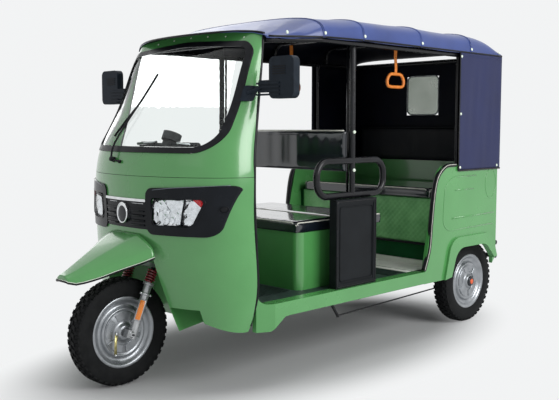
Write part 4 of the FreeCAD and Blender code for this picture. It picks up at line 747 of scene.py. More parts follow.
def skin_pad(name, outline, low, high, material, rings=4):
    """A closed pad that follows the cab's front inside an outline, between two lifts."""
    middle = sum((Vector(point) for point in outline), Vector((0, 0))) / len(outline)
    count = len(outline)
    points = []
    scales = [step / rings for step in range(rings, 0, -1)]
    for lift, order in ((high, reversed(scales)), (low, scales)):
        for scale in order:
            for point in outline:
                spot = middle + (Vector(point) - middle) * scale
                points.append(on_skin(spot.x, spot.y, lift))
    points += [on_skin(middle.x, middle.y, high), on_skin(middle.x, middle.y, low)]
    faces = quads(2 * rings, count)
    last = (2 * rings - 1) * count
    faces += [(index, (index + 1) % count, len(points) - 2) for index in range(count)]
    faces += [(last + index, last + (index + 1) % count, len(points) - 1) for index in range(count)]
    return shaped(name, points, faces, material)


def set_out(name, shape, spots, material):
    """Copies of a shape on given spots, each turned to face away from its seat, as one plain mesh."""
    marks = bpy.data.meshes.new(name + "_marks")
    marks.from_pydata([tuple(place) for place, facing in spots], [], [])
    for item, (place, facing) in zip(marks.attributes.new("facing", "FLOAT_VECTOR", "POINT").data, spots):
        item.vector = facing
    board = bpy.data.objects.new(name + "_marks", marks)
    bpy.context.scene.collection.objects.link(board)
    tree, given, copies = copier(name, material, Seats="Object")
    seats = tree.nodes.new("GeometryNodeObjectInfo")
    facing = tree.nodes.new("GeometryNodeInputNamedAttribute")
    facing.data_type = "FLOAT_VECTOR"
    facing.inputs["Name"].default_value = "facing"
    turn = tree.nodes.new("FunctionNodeAlignRotationToVector")
    turn.axis = "Z"
    tree.links.new(given.outputs["Seats"], seats.inputs["Object"])
    tree.links.new(seats.outputs["Geometry"], copies.inputs["Points"])
    tree.links.new(facing.outputs["Attribute"], turn.inputs["Vector"])
    tree.links.new(turn.outputs["Rotation"], copies.inputs["Rotation"])
    return made_plain(name, tree, {"Seats": board, "Shape": shape}, [shape, board])


def dome(radius, height, steps=12):
    """A small domed head that stands on the ground plane and points up."""
    rows = ((1.0, 0.0), (1.0, 0.35), (0.8, 0.8), (0.4, 1.0))
    points = [Vector((radius * wide * math.cos(2 * math.pi * step / steps),
                      radius * wide * math.sin(2 * math.pi * step / steps), height * up))
              for wide, up in rows for step in range(steps)]
    points.append(Vector((0, 0, height)))
    faces = quads(len(rows), steps)
    last = (len(rows) - 1) * steps
    faces += [(last + step, last + (step + 1) % steps, len(points) - 1) for step in range(steps)]
    faces.append(tuple(reversed(range(steps))))
    return points, faces


bezel_black = made_of("bezel_black", ((10, 14, 19), (18, 22, 28)), grain=9, rough=(0.2, 0.3), bump=0.06,
                      bump_grain=900, specular_ior_level=0.16)
matte_black = made_of("matte_black", ((11, 12, 15), (20, 21, 25)), grain=30, rough=(0.45, 0.6), bump=0.3,
                      bump_grain=500, specular_ior_level=0.15)
chrome = made_of("chrome", ((206, 208, 210), (228, 230, 232)), grain=40, rough=(0.05, 0.12), metallic=1.0)
clear_glass = made_of("clear_glass", ((246.99, 251.61, 249.89), (249.31, 253.31, 251.61)), grain=2,
                      rough=(0.0, 0.012), transmission_weight=1.0, ior=1.2)
lens_clear = made_of("lens_clear", ((249.31, 251.61, 252.74), (252.74, 253.88, 255.00)), grain=30,
                     rough=(0.0, 0.03), transmission_weight=1.0, ior=1.25)
lamp_red = made_of("lamp_red", ((176, 20, 28), (210, 36, 44)), grain=60, rough=(0.1, 0.2))
# Painted highlight: a pale grey for the light along each bezel's bevelled top edge.
bezel_edge = made_of("bezel_edge", ((80, 86, 96), (112, 118, 128)), rough=(0.2, 0.3))
fog_across, fog_up = 0.496, 0.832
badge_up = 0.797
painted(green_paint, "nose_panel", "windscreen_frame", "front_bulkhead")
painted(edge_rubber, "screen_gasket")
painted(clear_glass, "windscreen")
painted(bezel_black, "headlamp_bezels", "grille")
painted(chrome, "grille_trim")
painted(matte_black, "dashboard")
for sign, word in both_sides:
    edge_line = smooth_line([Vector((sign * (wide - 0.001), back + 0.003, up))
                             for up, wide, back in nose_edge])
    fitted(tube("door_moulding_" + word, edge_rubber, edge_line, 0.0072, 8, flat=0.7), "chassis",
           "black_rubber")
    seat_rows = []
    cells_wide, cells_tall = 16, 9
    for row in range(cells_tall + 1):
        for cell in range(cells_wide + 1):
            down = row / cells_tall
            out = cell / cells_wide
            top = Vector(lens_corners[0]).lerp(Vector(lens_corners[1]), out)
            foot = Vector(lens_corners[3]).lerp(Vector(lens_corners[2]), out)
            spot = top.lerp(foot, down)
            jumble = math.sin(cell * 12.9898 + row * 78.233 + 3.1) * 43758.5453
            depth = 0.004 + 0.009 * (jumble - math.floor(jumble))
            if row in (0, cells_tall) or cell in (0, cells_wide):
                depth = 0.004
            seat_rows.append(on_skin(sign * spot.x, spot.y, -depth))
    cell_faces = []
    for corners in quads(cells_tall + 1, cells_wide + 1, columns_meet=False):
        if sum(divmod(corners[0], cells_wide + 1)) % 2:
            cell_faces += [corners[:3], (corners[2], corners[3], corners[0])]
        else:
            cell_faces += [(corners[0], corners[1], corners[3]), corners[1:]]
    reflector = shaped("lamp_reflector_" + word, seat_rows, cell_faces, chrome, False)
    modify(reflector, "SOLIDIFY", thickness=0.002)
    fitted(reflector, "chassis", "chrome")
    lens_line = [(sign * across, up) for across, up in lens_outline]
    cover = skin_pad("lamp_glass_" + word, lens_line, -0.0018, 0.0002, lens_clear)
    fitted(cover, "chassis", "lamp_lens", *(["headlamps"] if sign == 1 else []))
    rim_line = [on_skin(sign * across, up, -0.0005) for across, up in lens_outline]
    bar_line = [on_skin(sign * across, up, -0.003)
                for across, up in ((0.358, 0.872), (0.347, 0.815), (0.337, 0.757))]
    inner = [tube("lamp_rim", bezel_black, rim_line, 0.0034, 8, True),
             tube("lamp_bar", bezel_black, bar_line, 0.0052, 8)]
    fitted(joined("lamp_edging_" + word, inner), "chassis", "gloss_black")
    marker_line = [(sign * across, up) for across, up in ((0.392, 0.873), (0.434, 0.874), (0.426, 0.838))]
    fitted(skin_pad("lamp_marker_" + word, marker_line, -0.004, -0.0022, lamp_red, 2), "chassis", "red_lens")
    # Painted highlight: a pale grey line along the top of each bezel stands for the light its bevel catches.
    bevel_highlight_line = [on_skin(sign * across, up, 0.0004) for across, up in
                  ((0.200, 0.910), (0.300, 0.922), (0.412, 0.930), (0.512, 0.936))]
    fitted(tube("bezel_edge_" + word, bezel_edge, smooth_line(bevel_highlight_line), 0.0016, 6), "chassis",
           "gloss_black")
    ring_line = [on_skin(sign * (fog_across + 0.0135 * math.cos(turn * math.pi / 12)),
                         fog_up + 0.0155 * math.sin(turn * math.pi / 12), 0.0002) for turn in range(24)]
    fog = [tube("fog_ring", bezel_black, ring_line, 0.0026, 8, True),
           skin_pad("fog_cup", [(sign * (fog_across + 0.012 * math.cos(turn * math.pi / 8)),
                                 fog_up + 0.014 * math.sin(turn * math.pi / 8)) for turn in range(16)],
                    -0.001, 0.0006, matte_black, 2)]
    fitted(joined("fog_socket_" + word, fog), "chassis", "gloss_black")
    slats = []
    for up in (0.846, 0.812, 0.790, 0.768, 0.748):
        slat = [on_skin(sign * across, up - 0.004 * abs(across), 0.0022)
                for across in (0.052, 0.08, 0.11, 0.142)]
        thick, finish = (0.0045, bezel_black) if up < 0.84 else (0.0012, chrome)
        slats.append(tube("slat", finish, slat, thick, 6))
    fitted(joined("grille_slats_" + word, slats), "chassis", "gloss_black")
badge_front = tree_of("grille_trim").ray_cast(Vector((0, -2, badge_up)), Vector((0, 1, 0)))[0].y
badge_ring = [Vector((0.0375 * math.cos(turn * math.pi / 24), badge_front + 0.0005,
                      badge_up + 0.0455 * math.sin(turn * math.pi / 24))) for turn in range(48)]
badge_points, badge_faces = dome(1.0, 1.0, 32)
badge_points = [Vector((point.x * 0.033, badge_front + 0.003 - 0.006 * point.z, badge_up + point.y * 0.041))
                for point in badge_points]
fitted(shaped("badge_disc", badge_points, badge_faces, cap_dark), "chassis", "chrome")
fitted(tube("badge_ring", chrome, badge_ring, 0.0036, 10, True), "chassis", "chrome")
rivet_spots = []
for across, up in ((0.0, 1.617), (0.13, 1.613), (0.26, 1.604), (0.385, 1.592)):
    for sign in ((1,) if across == 0 else (1, -1)):
        rivet_spots.append((on_skin(sign * across, up, 0.0), Vector((0, -0.85, 0.5))))
fitted(set_out("header_rivets", shaped("rivet_shape", *dome(0.0042, 0.0022), pale_line), rivet_spots,
               pale_line), "chassis", "aluminium")

# Wiper and washer nozzle: a tapered black arm on a pivot below the glass, holding one rubber blade.
wiper_pivot = on_skin(-0.100, 1.036, 0.0)
arm_line = [wiper_pivot + Vector((0, -0.018, 0.004))]
for across, up, lift in ((-0.105, 1.09, 0.016), (-0.112, 1.16, 0.018), (-0.120, 1.25, 0.016),
                         (-0.124, 1.30, 0.012)):
    arm_line.append(on_skin(across, up, lift))
blade_line = [on_skin(-0.090 - 0.09 * share, 1.44 - 0.30 * share, 0.0075)
              for share in (0, 0.25, 0.5, 0.75, 1)]
wiper = [tube("wiper_arm", matte_black, smooth_line(arm_line), 0.0048, 8),
         tube("wiper_blade", edge_rubber, smooth_line(blade_line), 0.0062, 8, flat=0.5),
         tube("wiper_boss", matte_black, [wiper_pivot, wiper_pivot + Vector((0, -0.022, 0.006))],
              [0.013, 0.011], 16)]
nozzle = on_skin(-0.040, 1.030, 0.0)
nozzle_line = [nozzle + Vector(shift) for shift in ((0, 0.003, -0.002), (0, -0.010, 0.0), (0, -0.014, 0.001))]
link_line = [wiper_pivot + Vector((0, -0.012, 0)), nozzle + Vector((0, -0.007, 0))]
wiper += [tube("washer_nozzle", matte_black, nozzle_line, [0.008, 0.0078, 0.005], 14),
          tube("washer_link", matte_black, link_line, 0.0045, 8)]
fitted(joined("wiper", wiper), "chassis", "black_rubber")

# Mirrors: moulded plastic heads on ribbed knuckles, with a vent pressing on the back of each shell.
mirror_plastic = made_of("mirror_plastic", ((20, 27, 36), (29, 37, 46)), grain=40, rough=(0.4, 0.52),
                         bump=0.25, bump_grain=700, specular_ior_level=0.12)
painted(mirror_plastic, "mirrors")
mirror_face = -0.6945
for sign, word in both_sides:
    ridges = []
    for name, middle, half_wide, half_tall, ease, low, step, depth, edge, finish in (
            ("rib", 0.578, 0.072, 0.0042, 0.002, 1.328, 0.0165, 0.0055, 0.0015, mirror_plastic),
            ("vent", 0.646, 0.040, 0.0022, 0.001, 1.447, -0.0105, 0.0030, 0.0010, matte_black)):
        for number in range(4):
            up = low + step * number
            ridge = plate(round_corners(half_wide, half_tall, ease, 2),
                          lambda u, v, w: Vector((sign * (middle + u), mirror_face + 0.001 - w, up + v)),
                          depth, edge)
            ridges.append(shaped(name, *ridge, finish, False))
    fitted(joined("mirror_ribs_" + word, ridges), "chassis", "grey_plastic")
    sheen_plate = plate(round_corners(0.064, 0.080, 0.022),
                        lambda u, v, w: Vector((sign * (0.6585 + u), -0.6567 + w, 1.40 + v)), 0.0018, 0.0006)
    sheen = shaped("mirror_glass_" + word, *sheen_plate, chrome)
    fitted(sheen, "chassis", "chrome")

# Floor and sills: painted steel sills under a dark ribbed rubber mat, with a bright tread plate
# and a lesser strip before the rear seat.
mat_top = 0.3905
painted(green_paint, "sills")
mat_rubber = made_of("mat_rubber", ((22, 36, 34), (38, 56, 52)), grain=18, rough=(0.4, 0.6), bump=0.3,
                     bump_grain=600)
painted(mat_rubber, "floor")
dark_steel = made_of("dark_steel", ((26, 27, 29), (44, 45, 48)), grain=25, rough=(0.5, 0.7), bump=0.3,
                     bump_grain=300, metallic=0.3)
painted(dark_steel, "frame", "rear_axle", "leaf_springs", "brake_linkage")
kick_aluminium = made_of("kick_aluminium", ((226, 228, 220), (244, 245, 240)), grain=7, rough=(0.3, 0.45),
                         bump=0.1, bump_grain=900, metallic=0.2)


def bar(name, low, high, edge, material):
    """A bar with eased edges between two corners."""
    middle = (Vector(low) + Vector(high)) / 2
    half = (Vector(high) - Vector(low)) / 2
    outline = ((-half.x, -half.y), (half.x, -half.y), (half.x, half.y), (-half.x, half.y))
    return shaped(name, *plate(outline, lambda u, v, w: Vector((middle.x + u, middle.y + v, low[2] + w)),
                               2 * half.z, edge), material, False)


def in_row(name, shape, count, start, step, material):
    """Copies of a shape in a straight row, as one plain mesh."""
    tree, given, copies = copier(name, material, Count="Int", Start="Vector", Step="Vector")
    line = tree.nodes.new("GeometryNodeMeshLine")
    tree.links.new(given.outputs["Count"], line.inputs["Count"])
    tree.links.new(given.outputs["Start"], line.inputs["Start Location"])
    tree.links.new(given.outputs["Step"], line.inputs["Offset"])
    tree.links.new(line.outputs["Mesh"], copies.inputs["Points"])
    values = {"Count": count, "Start": tuple(start), "Step": tuple(step), "Shape": shape}
    return made_plain(name, tree, values, [shape])


front_ribs = in_row("front_mat_ribs", bar("rib_shape", (-0.40, -0.004, 0), (0.40, 0.004, 0.003), 0.0012,
                                          mat_rubber), 17, (0, -0.715, mat_top), (0, 0.021, 0), mat_rubber)
entry_ribs = in_row("entry_mat_ribs", bar("rib_shape", (-0.49, -0.004, 0), (0.49, 0.004, 0.003), 0.0012,
                                          mat_rubber), 7, (0, 0.300, mat_top), (0, 0.020, 0), mat_rubber)
fitted(joined("mat_ribs", [front_ribs, entry_ribs]), "chassis", "black_rubber")
kick = [bar("kick", (-0.495, back, mat_top), (0.495, end, top), edge, kick_aluminium)
        for back, end, top, edge in ((0.664, 0.680, 0.424, 0.003), (0.500, 0.665, mat_top + 0.003, 0.001),
                                     (0.440, 0.485, mat_top + 0.003, 0.001))]
fitted(joined("kick_strips", kick), "chassis", "aluminium")

# Driver's bench: a green steel box with a rounded front corner and a latch. Its lid and the seat
# behind it are foam under glossy vinyl, with pale piping round the top.
vinyl = made_of("seat_vinyl", ((15, 21, 28), (24, 31, 39)), grain=7, rough=(0.14, 0.24), bump=0.05,
                bump_grain=300, coat_weight=1.0, coat_roughness=0.06)
piping_pale = made_of("piping_pale", ((190, 190, 180), (218, 218, 208)), grain=40, rough=(0.35, 0.45))
painted(green_paint, "bench_box")


def puffed(name, low, high, ease, swell, material):
    """A stuffed pad: a rounded block, blown up as cloth by a few millimetres and then smoothed."""
    low, high = Vector(low), Vector(high)
    half = (high - low) / 2
    middle = (high + low) / 2
    block = shaped(name, *plate([(u, v) for u, v in round_corners(half.x, half.y, ease, 5)],
                                lambda u, v, w: Vector((middle.x + u, middle.y + v, low.z + w)), 2 * half.z,
                                ease * 0.55), material)
    modify(block, "REMESH", mode="VOXEL", voxel_size=0.0085)
    settled(block)
    before = [vertex.co.copy() for vertex in block.data.vertices]
    blow = block.modifiers.new("blow", "CLOTH")
    blow.settings.use_pressure = True
    blow.settings.uniform_pressure_force = 4
    blow.settings.effector_weights.gravity = 0
    blow.settings.quality = 4
    blow.point_cache.frame_start = 1
    blow.point_cache.frame_end = 12
    for number in range(1, 13):
        bpy.context.scene.frame_set(number)
    after = settled_places(block)
    block.modifiers.clear()
    for vertex, was, now in zip(block.data.vertices, before, after):
        move = now - was
        if was.z < low.z + 0.004:
            move = Vector((0, 0, 0))
        vertex.co = was + move * min(1, swell / max(move.length, 1e-9))
    bpy.context.scene.frame_set(1)
    modify(block, "SUBSURF", levels=1, render_levels=1)
    settled(block)
    for face in block.data.polygons:
        face.use_smooth = True
    return block


def settled_places(piece):
    """Where a piece's points stand once its modifiers have run."""
    reached = piece.evaluated_get(bpy.context.evaluated_depsgraph_get())
    return [vertex.co.copy() for vertex in reached.data.vertices]


def settled(piece):
    """Writes a piece's modifiers into its mesh."""
    bpy.context.view_layer.update()
    reached = piece.evaluated_get(bpy.context.evaluated_depsgraph_get())
    mesh = bpy.data.meshes.new_from_object(reached)
    piece.modifiers.clear()
    old = piece.data
    piece.data = mesh
    bpy.data.meshes.remove(old)


def draped(piece, height):
    """Where a soft piece's top lies at a place, found from above."""
    mesh = piece.data
    tree = BVHTree.FromPolygons([vertex.co.copy() for vertex in mesh.vertices],
                                [tuple(face.vertices) for face in mesh.polygons])
    return lambda across, back: (tree.ray_cast(Vector((across, back, height)), Vector((0, 0, -1)))[0]
                                 or Vector((across, back, height - 0.3)))


for node, body in (("driver_seat_lid", "driver_lid"), ("middle_seat", "chassis"),
                   ("rear_seat_lid", "rear_lid")):
    low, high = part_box(node)
    inset = Vector((0.004, 0.0025, 0))
    pad = puffed(node + "_cushion", low + inset, high - inset - Vector((0, 0, 0.004)), 0.016, 0.005, vinyl)
    fitted(pad, body, "seat_vinyl", node)
    top_of = draped(pad, high.z + 0.1)
    side = 0.013
    front_edge = [top_of(low.x + side + (high.x - low.x - 2 * side) * step / 24,
                         low.y + 0.012) for step in range(25)]
    right_edge = [top_of(low.x + 0.014, high.y - 0.02 - (high.y - low.y - 0.04) * step / 12)
                  for step in range(13)]
    left_edge = [top_of(high.x - 0.014, low.y + 0.02 + (high.y - low.y - 0.04) * step / 12)
                 for step in range(13)]
    line = [spot + Vector((0, 0, 0.001)) for spot in right_edge + front_edge + left_edge]
    fitted(tube(node + "_piping", piping_pale, line, 0.0034, 8), body, "seat_vinyl")
latch_dark = made_of("latch_dark", ((20, 24, 24), (34, 38, 38)), rough=(0.3, 0.4), metallic=0.4)
latches = []
for across, back, up in ((0.12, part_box("bench_box")[0].y, 0.585), (0.0, 0.683, 0.690)):
    for half_wide, half_tall, depth, rise in ((0.013, 0.030, 0.004, 0.0), (0.009, 0.012, 0.010, 0.010),
                                              (0.0075, 0.009, 0.012, -0.014)):
        latches.append(shaped("latch", *plate(
            round_corners(half_wide, half_tall, 0.003),
            lambda u, v, w: Vector((across + u, back - w, up + rise + v)), depth, 0.001), latch_dark))
fitted(joined("seat_latches", latches), "chassis", "chrome")

# Backrests: padded boards in black vinyl, glossy before the driver's back and dull behind, that is
# drawn into upright creases.
dull_vinyl = made_of("dull_vinyl", ((9, 11, 16), (15, 18, 24)), grain=7, rough=(0.42, 0.56), bump=0.2,
                     bump_grain=500, specular_ior_level=0.16)
for node in ("driver_backrest", "rear_backrest"):
    low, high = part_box(node)
    cover = vinyl if node == "driver_backrest" else dull_vinyl
    pad = puffed(node + "_pad", low + Vector((0.002, 0.003, 0.0)), high - Vector((0.002, 0.003, 0.003)),
                 0.010, 0.004, cover)
    middle = (low + high) / 2
    for vertex in pad.data.vertices:
        across = vertex.co.x
        fold = math.sin(across * 31 + math.sin(across * 9) * 3.0) * 0.6 + math.sin(across * 83 + 1.3) * 0.2
        strength = 0.0016 * max(0.0, 1 - abs((vertex.co.z - middle.z) / (high.z - low.z) * 1.9) ** 4)
        side = 1 if vertex.co.y > middle.y else -1
        vertex.co.y += side * fold * strength
    fitted(pad, "chassis", "seat_vinyl", node)
    rim = [Vector((low.x + 0.012 + (high.x - low.x - 0.024) * step / 20, low.y + 0.005, high.z - 0.0045))
           for step in range(21)]
    fitted(tube(node + "_rim", piping_pale if node == "driver_backrest" else cover, rim, 0.0035, 8),
           "chassis", "seat_vinyl")

# Posts, hoops and side boxes: black painted tube with pale screws, and folded steel panels with a
# pressed border line.
frame_black = made_of("frame_black", ((14, 14, 17), (23, 24, 28)), grain=10, rough=(0.2, 0.32), bump=0.08,
                      bump_grain=700, specular_ior_level=0.28)
panel_black = made_of("panel_black", ((17, 20, 23), (25, 28, 31)), grain=14, rough=(0.42, 0.55), bump=0.25,
                      bump_grain=900, specular_ior_level=0.12)
painted(frame_black, "grab_frames")
painted(panel_black, "side_panels")
screw_spots = []
for sign, word in both_sides:
    for up in (1.1625, 0.972):
        screw_spots.append((Vector((sign * (0.500 + 0.0145), -0.0345, up)), Vector((sign, -0.35, 0))))
    border = [Vector((sign * 0.5453, back, up))
              for back, up in ((-0.172, 0.425), (-0.172, 0.795), (0.080, 0.795), (0.080, 0.425))]
    line = tube("border", panel_black, bent(border, 0.02, True), 0.0022, 6, True)
    outer = [Vector((sign * 0.5451, back, up))
             for back, up in ((-0.194, 0.400), (-0.194, 0.822), (0.104, 0.822), (0.104, 0.400))]
    rim = tube("rim", frame_black, bent(outer, 0.012, True), 0.0030, 6, True)
    fitted(joined("panel_border_" + word, [line, rim]), "chassis", "black_paint")
    stay = [Vector((sign * 0.466, -0.030, 0.86)), Vector((sign * 0.466, -0.030, 1.60))]
    fitted(tube("post_stay_" + word, frame_black, stay, 0.0065, 8), "chassis", "black_paint")
fitted(set_out("post_screws", shaped("screw_shape", *dome(0.0085, 0.004), pale_line), screw_spots, pale_line),
       "chassis", "aluminium")

# Rear body: pressed green sides with a rounded panel and a filler lid, black moulding round the
# entry with a pale line along it that is a painted highlight, a darker green inside that is painted
# shade, and a seat front in quilted vinyl whose green is painted lighter for the light on it.
side_face = 0.562
entry_start = -1.095
entry_line = ((1.613, 0.399), (1.657, 0.512), (1.672, 0.640), (1.687, 0.760), (1.700, 0.835), (1.721, 0.897),
              (1.759, 0.940), (1.817, 0.969), (1.900, 0.972))
# Painted light: the quilted vinyl's green is lighter than the vinyl's own, standing in for light that falls
# on the seat front.
quilt_green_painted_lighter = made_of("quilt_green_painted_lighter", ((106, 172, 108), (136, 204, 134)), grain=9, rough=(0.3, 0.42), bump=0.3,
                      bump_grain=500)
# Painted shade: the body's inside takes a darker copy of the body green, for the shade inside the tub.
inner_green_painted_shade = made_of("inner_green_painted_shade", ((8, 70, 34), (14, 86, 44)), grain=5, rough=(0.4, 0.5), bump=0.1,
                     bump_grain=600, specular_ior_level=0.15)
painted(green_paint, "body_sides", "back_panel")
painted(inner_green_painted_shade, "inner_body")
side_tree = tree_of("body_sides")


def on_side(back, up, lift):
    """The point of the left body side at a place along the vehicle and a height, lifted off it."""
    tries = [side_tree.ray_cast(Vector((1, back + aside, up + above)), Vector((-1, 0, 0)))[0]
             for aside, above in ((0, 0), (0.004, 0), (-0.004, 0), (0, 0.004), (0, -0.004))]
    reach = max((spot.x for spot in tries if spot is not None and spot.x > 0.5), default=side_face)
    return Vector((reach + lift, back, up))


def arc_line(middle_back, middle_up, half_back, half_up, steps=28):
    """Places along an oval on the body's side."""
    return [(middle_back + half_back * math.cos(2 * math.pi * step / steps),
             middle_up + half_up * math.sin(2 * math.pi * step / steps)) for step in range(steps)]


for sign, word in both_sides:
    line = smooth_line([Vector((sign * (side_face - 0.004), back + entry_start - 0.004, up))
                        for back, up in entry_line])
    moulding = tube("entry_moulding_" + word, edge_rubber, line, 0.0115, 8, flat=1.35)
    fitted(moulding, "chassis", "black_rubber")
    # Painted highlight: a pale line along the black moulding stands for the light on its rounded edge.
    painted_highlight = [place + Vector((sign * 0.0135, -0.006, 0.004)) for place in line]
    fitted(tube("entry_bead_" + word, piping_pale, painted_highlight, 0.0020, 6), "chassis", "black_rubber")
    ridges = []
    upper = [(1.02, 0.905), (0.78, 0.905), (0.705, 0.86), (0.690, 0.72), (0.690, 0.640), (0.740, 0.600),
             (1.215, 0.605)]
    for outline, radius, closed in ((upper, 0.0045, False), ([(0.80, 0.828), (1.00, 0.828)], 0.0036, False),
                                    ([(0.775, 0.668), (1.225, 0.672)], 0.0050, False),
                                    (arc_line(1.185, 0.850, 0.058, 0.088), 0.0036, True)):
        corners = [on_side(back, up, 0.0002) for back, up in outline]
        corners = [Vector((sign * place.x, place.y, place.z)) for place in corners]
        if not closed:
            dense = bent(corners, 0.05)
        else:
            dense = corners
        ridges.append(tube("ridge", green_paint, dense, radius, 8, closed, flat=0.45))
    fitted(joined("side_pressing_" + word, ridges), "chassis", "green_paint")
quilt_low, quilt_high = 0.523, 0.782
quilt_half = 0.512
quilt_face = 0.6815
cell = 0.0235
columns, rows = 200, 50
quilt_points = []
for row in range(rows + 1):
    for column in range(columns + 1):
        across = -quilt_half + 2 * quilt_half * column / columns
        up = quilt_low + (quilt_high - quilt_low) * row / rows
        first = abs(math.sin(math.pi * (across + up) / cell / math.sqrt(2)))
        second = abs(math.sin(math.pi * (across - up) / cell / math.sqrt(2)))
        puff = 0.0042 * math.sqrt(first * second)
        edge = min(1.0, min(row, rows - row) / 2, min(column, columns - column) / 2)
        quilt_points.append((across, quilt_face - 0.0010 - puff * edge, up))
quilt = shaped("quilted_seat_front", quilt_points, quads(rows + 1, columns + 1, columns_meet=False),
               quilt_green_painted_lighter)
backing = quilt.modifiers.new("backing", "SOLIDIFY")
backing.thickness = 0.002
backing.offset = 1 if quilt.data.polygons[0].normal.y > 0 else -1
fitted(quilt, "chassis", "green_paint")
roll = [Vector((-0.515 + 1.03 * step / 20, 0.674, quilt_low - 0.004)) for step in range(21)]
fitted(tube("quilt_roll", edge_rubber, roll, 0.0075, 10), "chassis", "black_rubber")

# Canopy: one sheet of dark blue coated cloth stretched over the bows, sewn in bays with a black
# bound hem and snapped to the rails. Two quarter curtains and a back curtain hang from it.
canopy_shares = ((0.0, 0.84, 0.16, 0.9, 0.55), (0.07, 0.876, 0.13, 0.66, 0.62),
                 (0.15, 0.937, 0.08, 0.36, 0.74), (0.22, 0.99, 0.04, 0.14, 0.86), (0.4, 1.0, 0.0, 0.03, 0.94),
                 (0.6, 1.0, 0.0, 0.0, 0.94), (0.78, 1.0, 0.0, 0.02, 0.94), (0.923, 1.0, 0.0, 0.1, 0.94),
                 (1.0, 1.0, 0.0, 0.74, 0.9))
canopy_front = -0.735
canopy_back = 1.271
brow_corner, brow_bow, brow_half = -0.618, -0.117, 0.480
canopy_half = 0.571
hem_up = 1.608
roof_up = 1.740
bow_backs = (-0.314, -0.033, 0.446, 0.925)
cloth_wall = 0.0022
canopy_blue = made_of("canopy_blue", ((38, 56, 112), (48, 68, 130)), grain=4, rough=(0.28, 0.38), bump=0.12,
                      bump_grain=420, coat_weight=0.1)
curtain_blue = made_of("curtain_blue", ((32, 37, 71), (38, 44, 81)), grain=4, rough=(0.45, 0.55), bump=0.2,
                       bump_grain=600, specular_ior_level=0.25)
# Painted shade: the inside faces of the canopy and curtains are near black, for the shade under the canopy.
inside_painted_shade = made_of("inside_painted_shade", ((3, 5, 14), (8, 11, 24)), grain=8, rough=(0.5, 0.65), bump=0.3,
                      bump_grain=400, specular_ior_level=0.1)


def canopy_row(back):
    """Half width, hem height, roof height and corner fill of the canopy at a place along it."""
    share = (back - canopy_front) / (canopy_back - canopy_front)
    share = min(max(share, 0.0), 1.0)
    rows = canopy_shares
    index = next(number for number in range(len(rows) - 1) if rows[number + 1][0] >= share - 1e-9)
    before, first = rows[max(index - 1, 0)], rows[index]
    second, after = rows[index + 1], rows[min(index + 2, len(rows) - 1)]
    part = (share - first[0]) / (second[0] - first[0])
    values = []
    for column in range(1, 5):
        slope_one = (second[column] - before[column]) / (second[0] - before[0]) * (second[0] - first[0])
        slope_two = (after[column] - first[column]) / (after[0] - first[0]) * (second[0] - first[0])
        values.append(first[column] * (2 * part ** 3 - 3 * part ** 2 + 1) + slope_one
                      * (part ** 3 - 2 * part ** 2 + part) + second[column] * (3 * part ** 2 - 2 * part ** 3)
                      + slope_two * (part ** 3 - part ** 2))
    width, hem, roof, fill = values
    return canopy_half * width, hem_up - 0.132 * hem, roof_up - 0.132 * roof, fill


def brow(across):
    """How far along the canopy its bowed front edge lies at a place across."""
    return brow_corner + brow_bow * max(0.0, 1 - (across / brow_half) ** 2)


def canopy_spot(back, around_share, sink=0.0):
    """A point of the canopy: around_share runs from the right hem over the roof to the left hem."""
    width, hem, roof, fill = canopy_row(back)
    side = 1 if around_share > 0.5 else -1
    share = 1 - abs(around_share - 0.5) * 2
    ends = ((width, hem), (width, hem + (roof - hem) * fill), (width * fill, roof), (0.0, roof))
    weights = ((1 - share) ** 3, 3 * share * (1 - share) ** 2, 3 * share ** 2 * (1 - share), share ** 3)
    across = sum(weight * end[0] for weight, end in zip(weights, ends))
    up = sum(weight * end[1] for weight, end in zip(weights, ends))
    return Vector((side * max(across - sink, 0), back, up - sink))


def slack(back, around_share):
    """How far the cloth sinks between two bows and ripples by its hem."""
    stations = (canopy_front, *bow_backs, canopy_back)
    index = next(number for number in range(len(stations) - 1) if stations[number + 1] >= back - 1e-9)
    part = (back - stations[index]) / (stations[index + 1] - stations[index])
    bay = math.sin(math.pi * part)
    shoulder = math.sin(math.pi * min(max((abs(around_share - 0.5) * 2), 0), 1)) * 0.4 + 0.6
    ripple = 0.0006 * math.sin(back * 17 + around_share * 9) * math.sin(around_share * 11 + back * 7)
    crease = 0.0007 * math.sin((back - stations[index]) * 13 + abs(around_share - 0.5) * 16) * bay
    front = 0.0030 * math.sin(back * 24 + around_share * 26) * bay if back < bow_backs[0] else 0
    return 0.0007 + 0.0052 * bay * shoulder + abs(ripple) + abs(crease) * 0.5 + abs(front)


canopy_columns = 96
canopy_steps = 120
canopy_points = []
for row in range(canopy_steps + 1):
    for column in range(canopy_columns + 1):
        around_share = column / canopy_columns
        place = canopy_spot(canopy_front, around_share)
        start = brow(place.x) + 0.0005
        back = start + (canopy_back - 0.0005 - start) * row / canopy_steps
        canopy_points.append(canopy_spot(back, around_share, slack(back, around_share)))
canopy_faces = quads(canopy_steps + 1, canopy_columns + 1, columns_meet=False)


def cloth(name, points, faces, outside, inside, outward):
    """A sheet of cloth with its own thickness, whose inside face takes a second colour, a near black painted
    shade.
    """
    piece = shaped(name, points, faces, outside)
    piece.data.materials.append(inside)
    faces_in = piece.data.polygons[len(piece.data.polygons) // 2].normal.dot(outward) < 0
    modify(piece, "SOLIDIFY", thickness=cloth_wall, offset=-1, material_offset=1, material_offset_rim=0)
    if faces_in:
        work = bmesh.new()
        work.from_mesh(piece.data)
        bmesh.ops.reverse_faces(work, faces=work.faces)
        work.to_mesh(piece.data)
        work.free()
    return piece


canopy = cloth("canopy_sheet", canopy_points, canopy_faces, canopy_blue, inside_painted_shade, Vector((0, 0, 1)))
fitted(canopy, "chassis", "canopy_vinyl", "canopy_cover")

side_curtain_front, side_curtain_back = 0.820, 1.2705
side_curtain_across, binding_across = 0.5705, 0.5712
curtain_low = 0.940
window_half, window_low, window_high, window_round = 0.124, 1.267, 1.520, 0.034


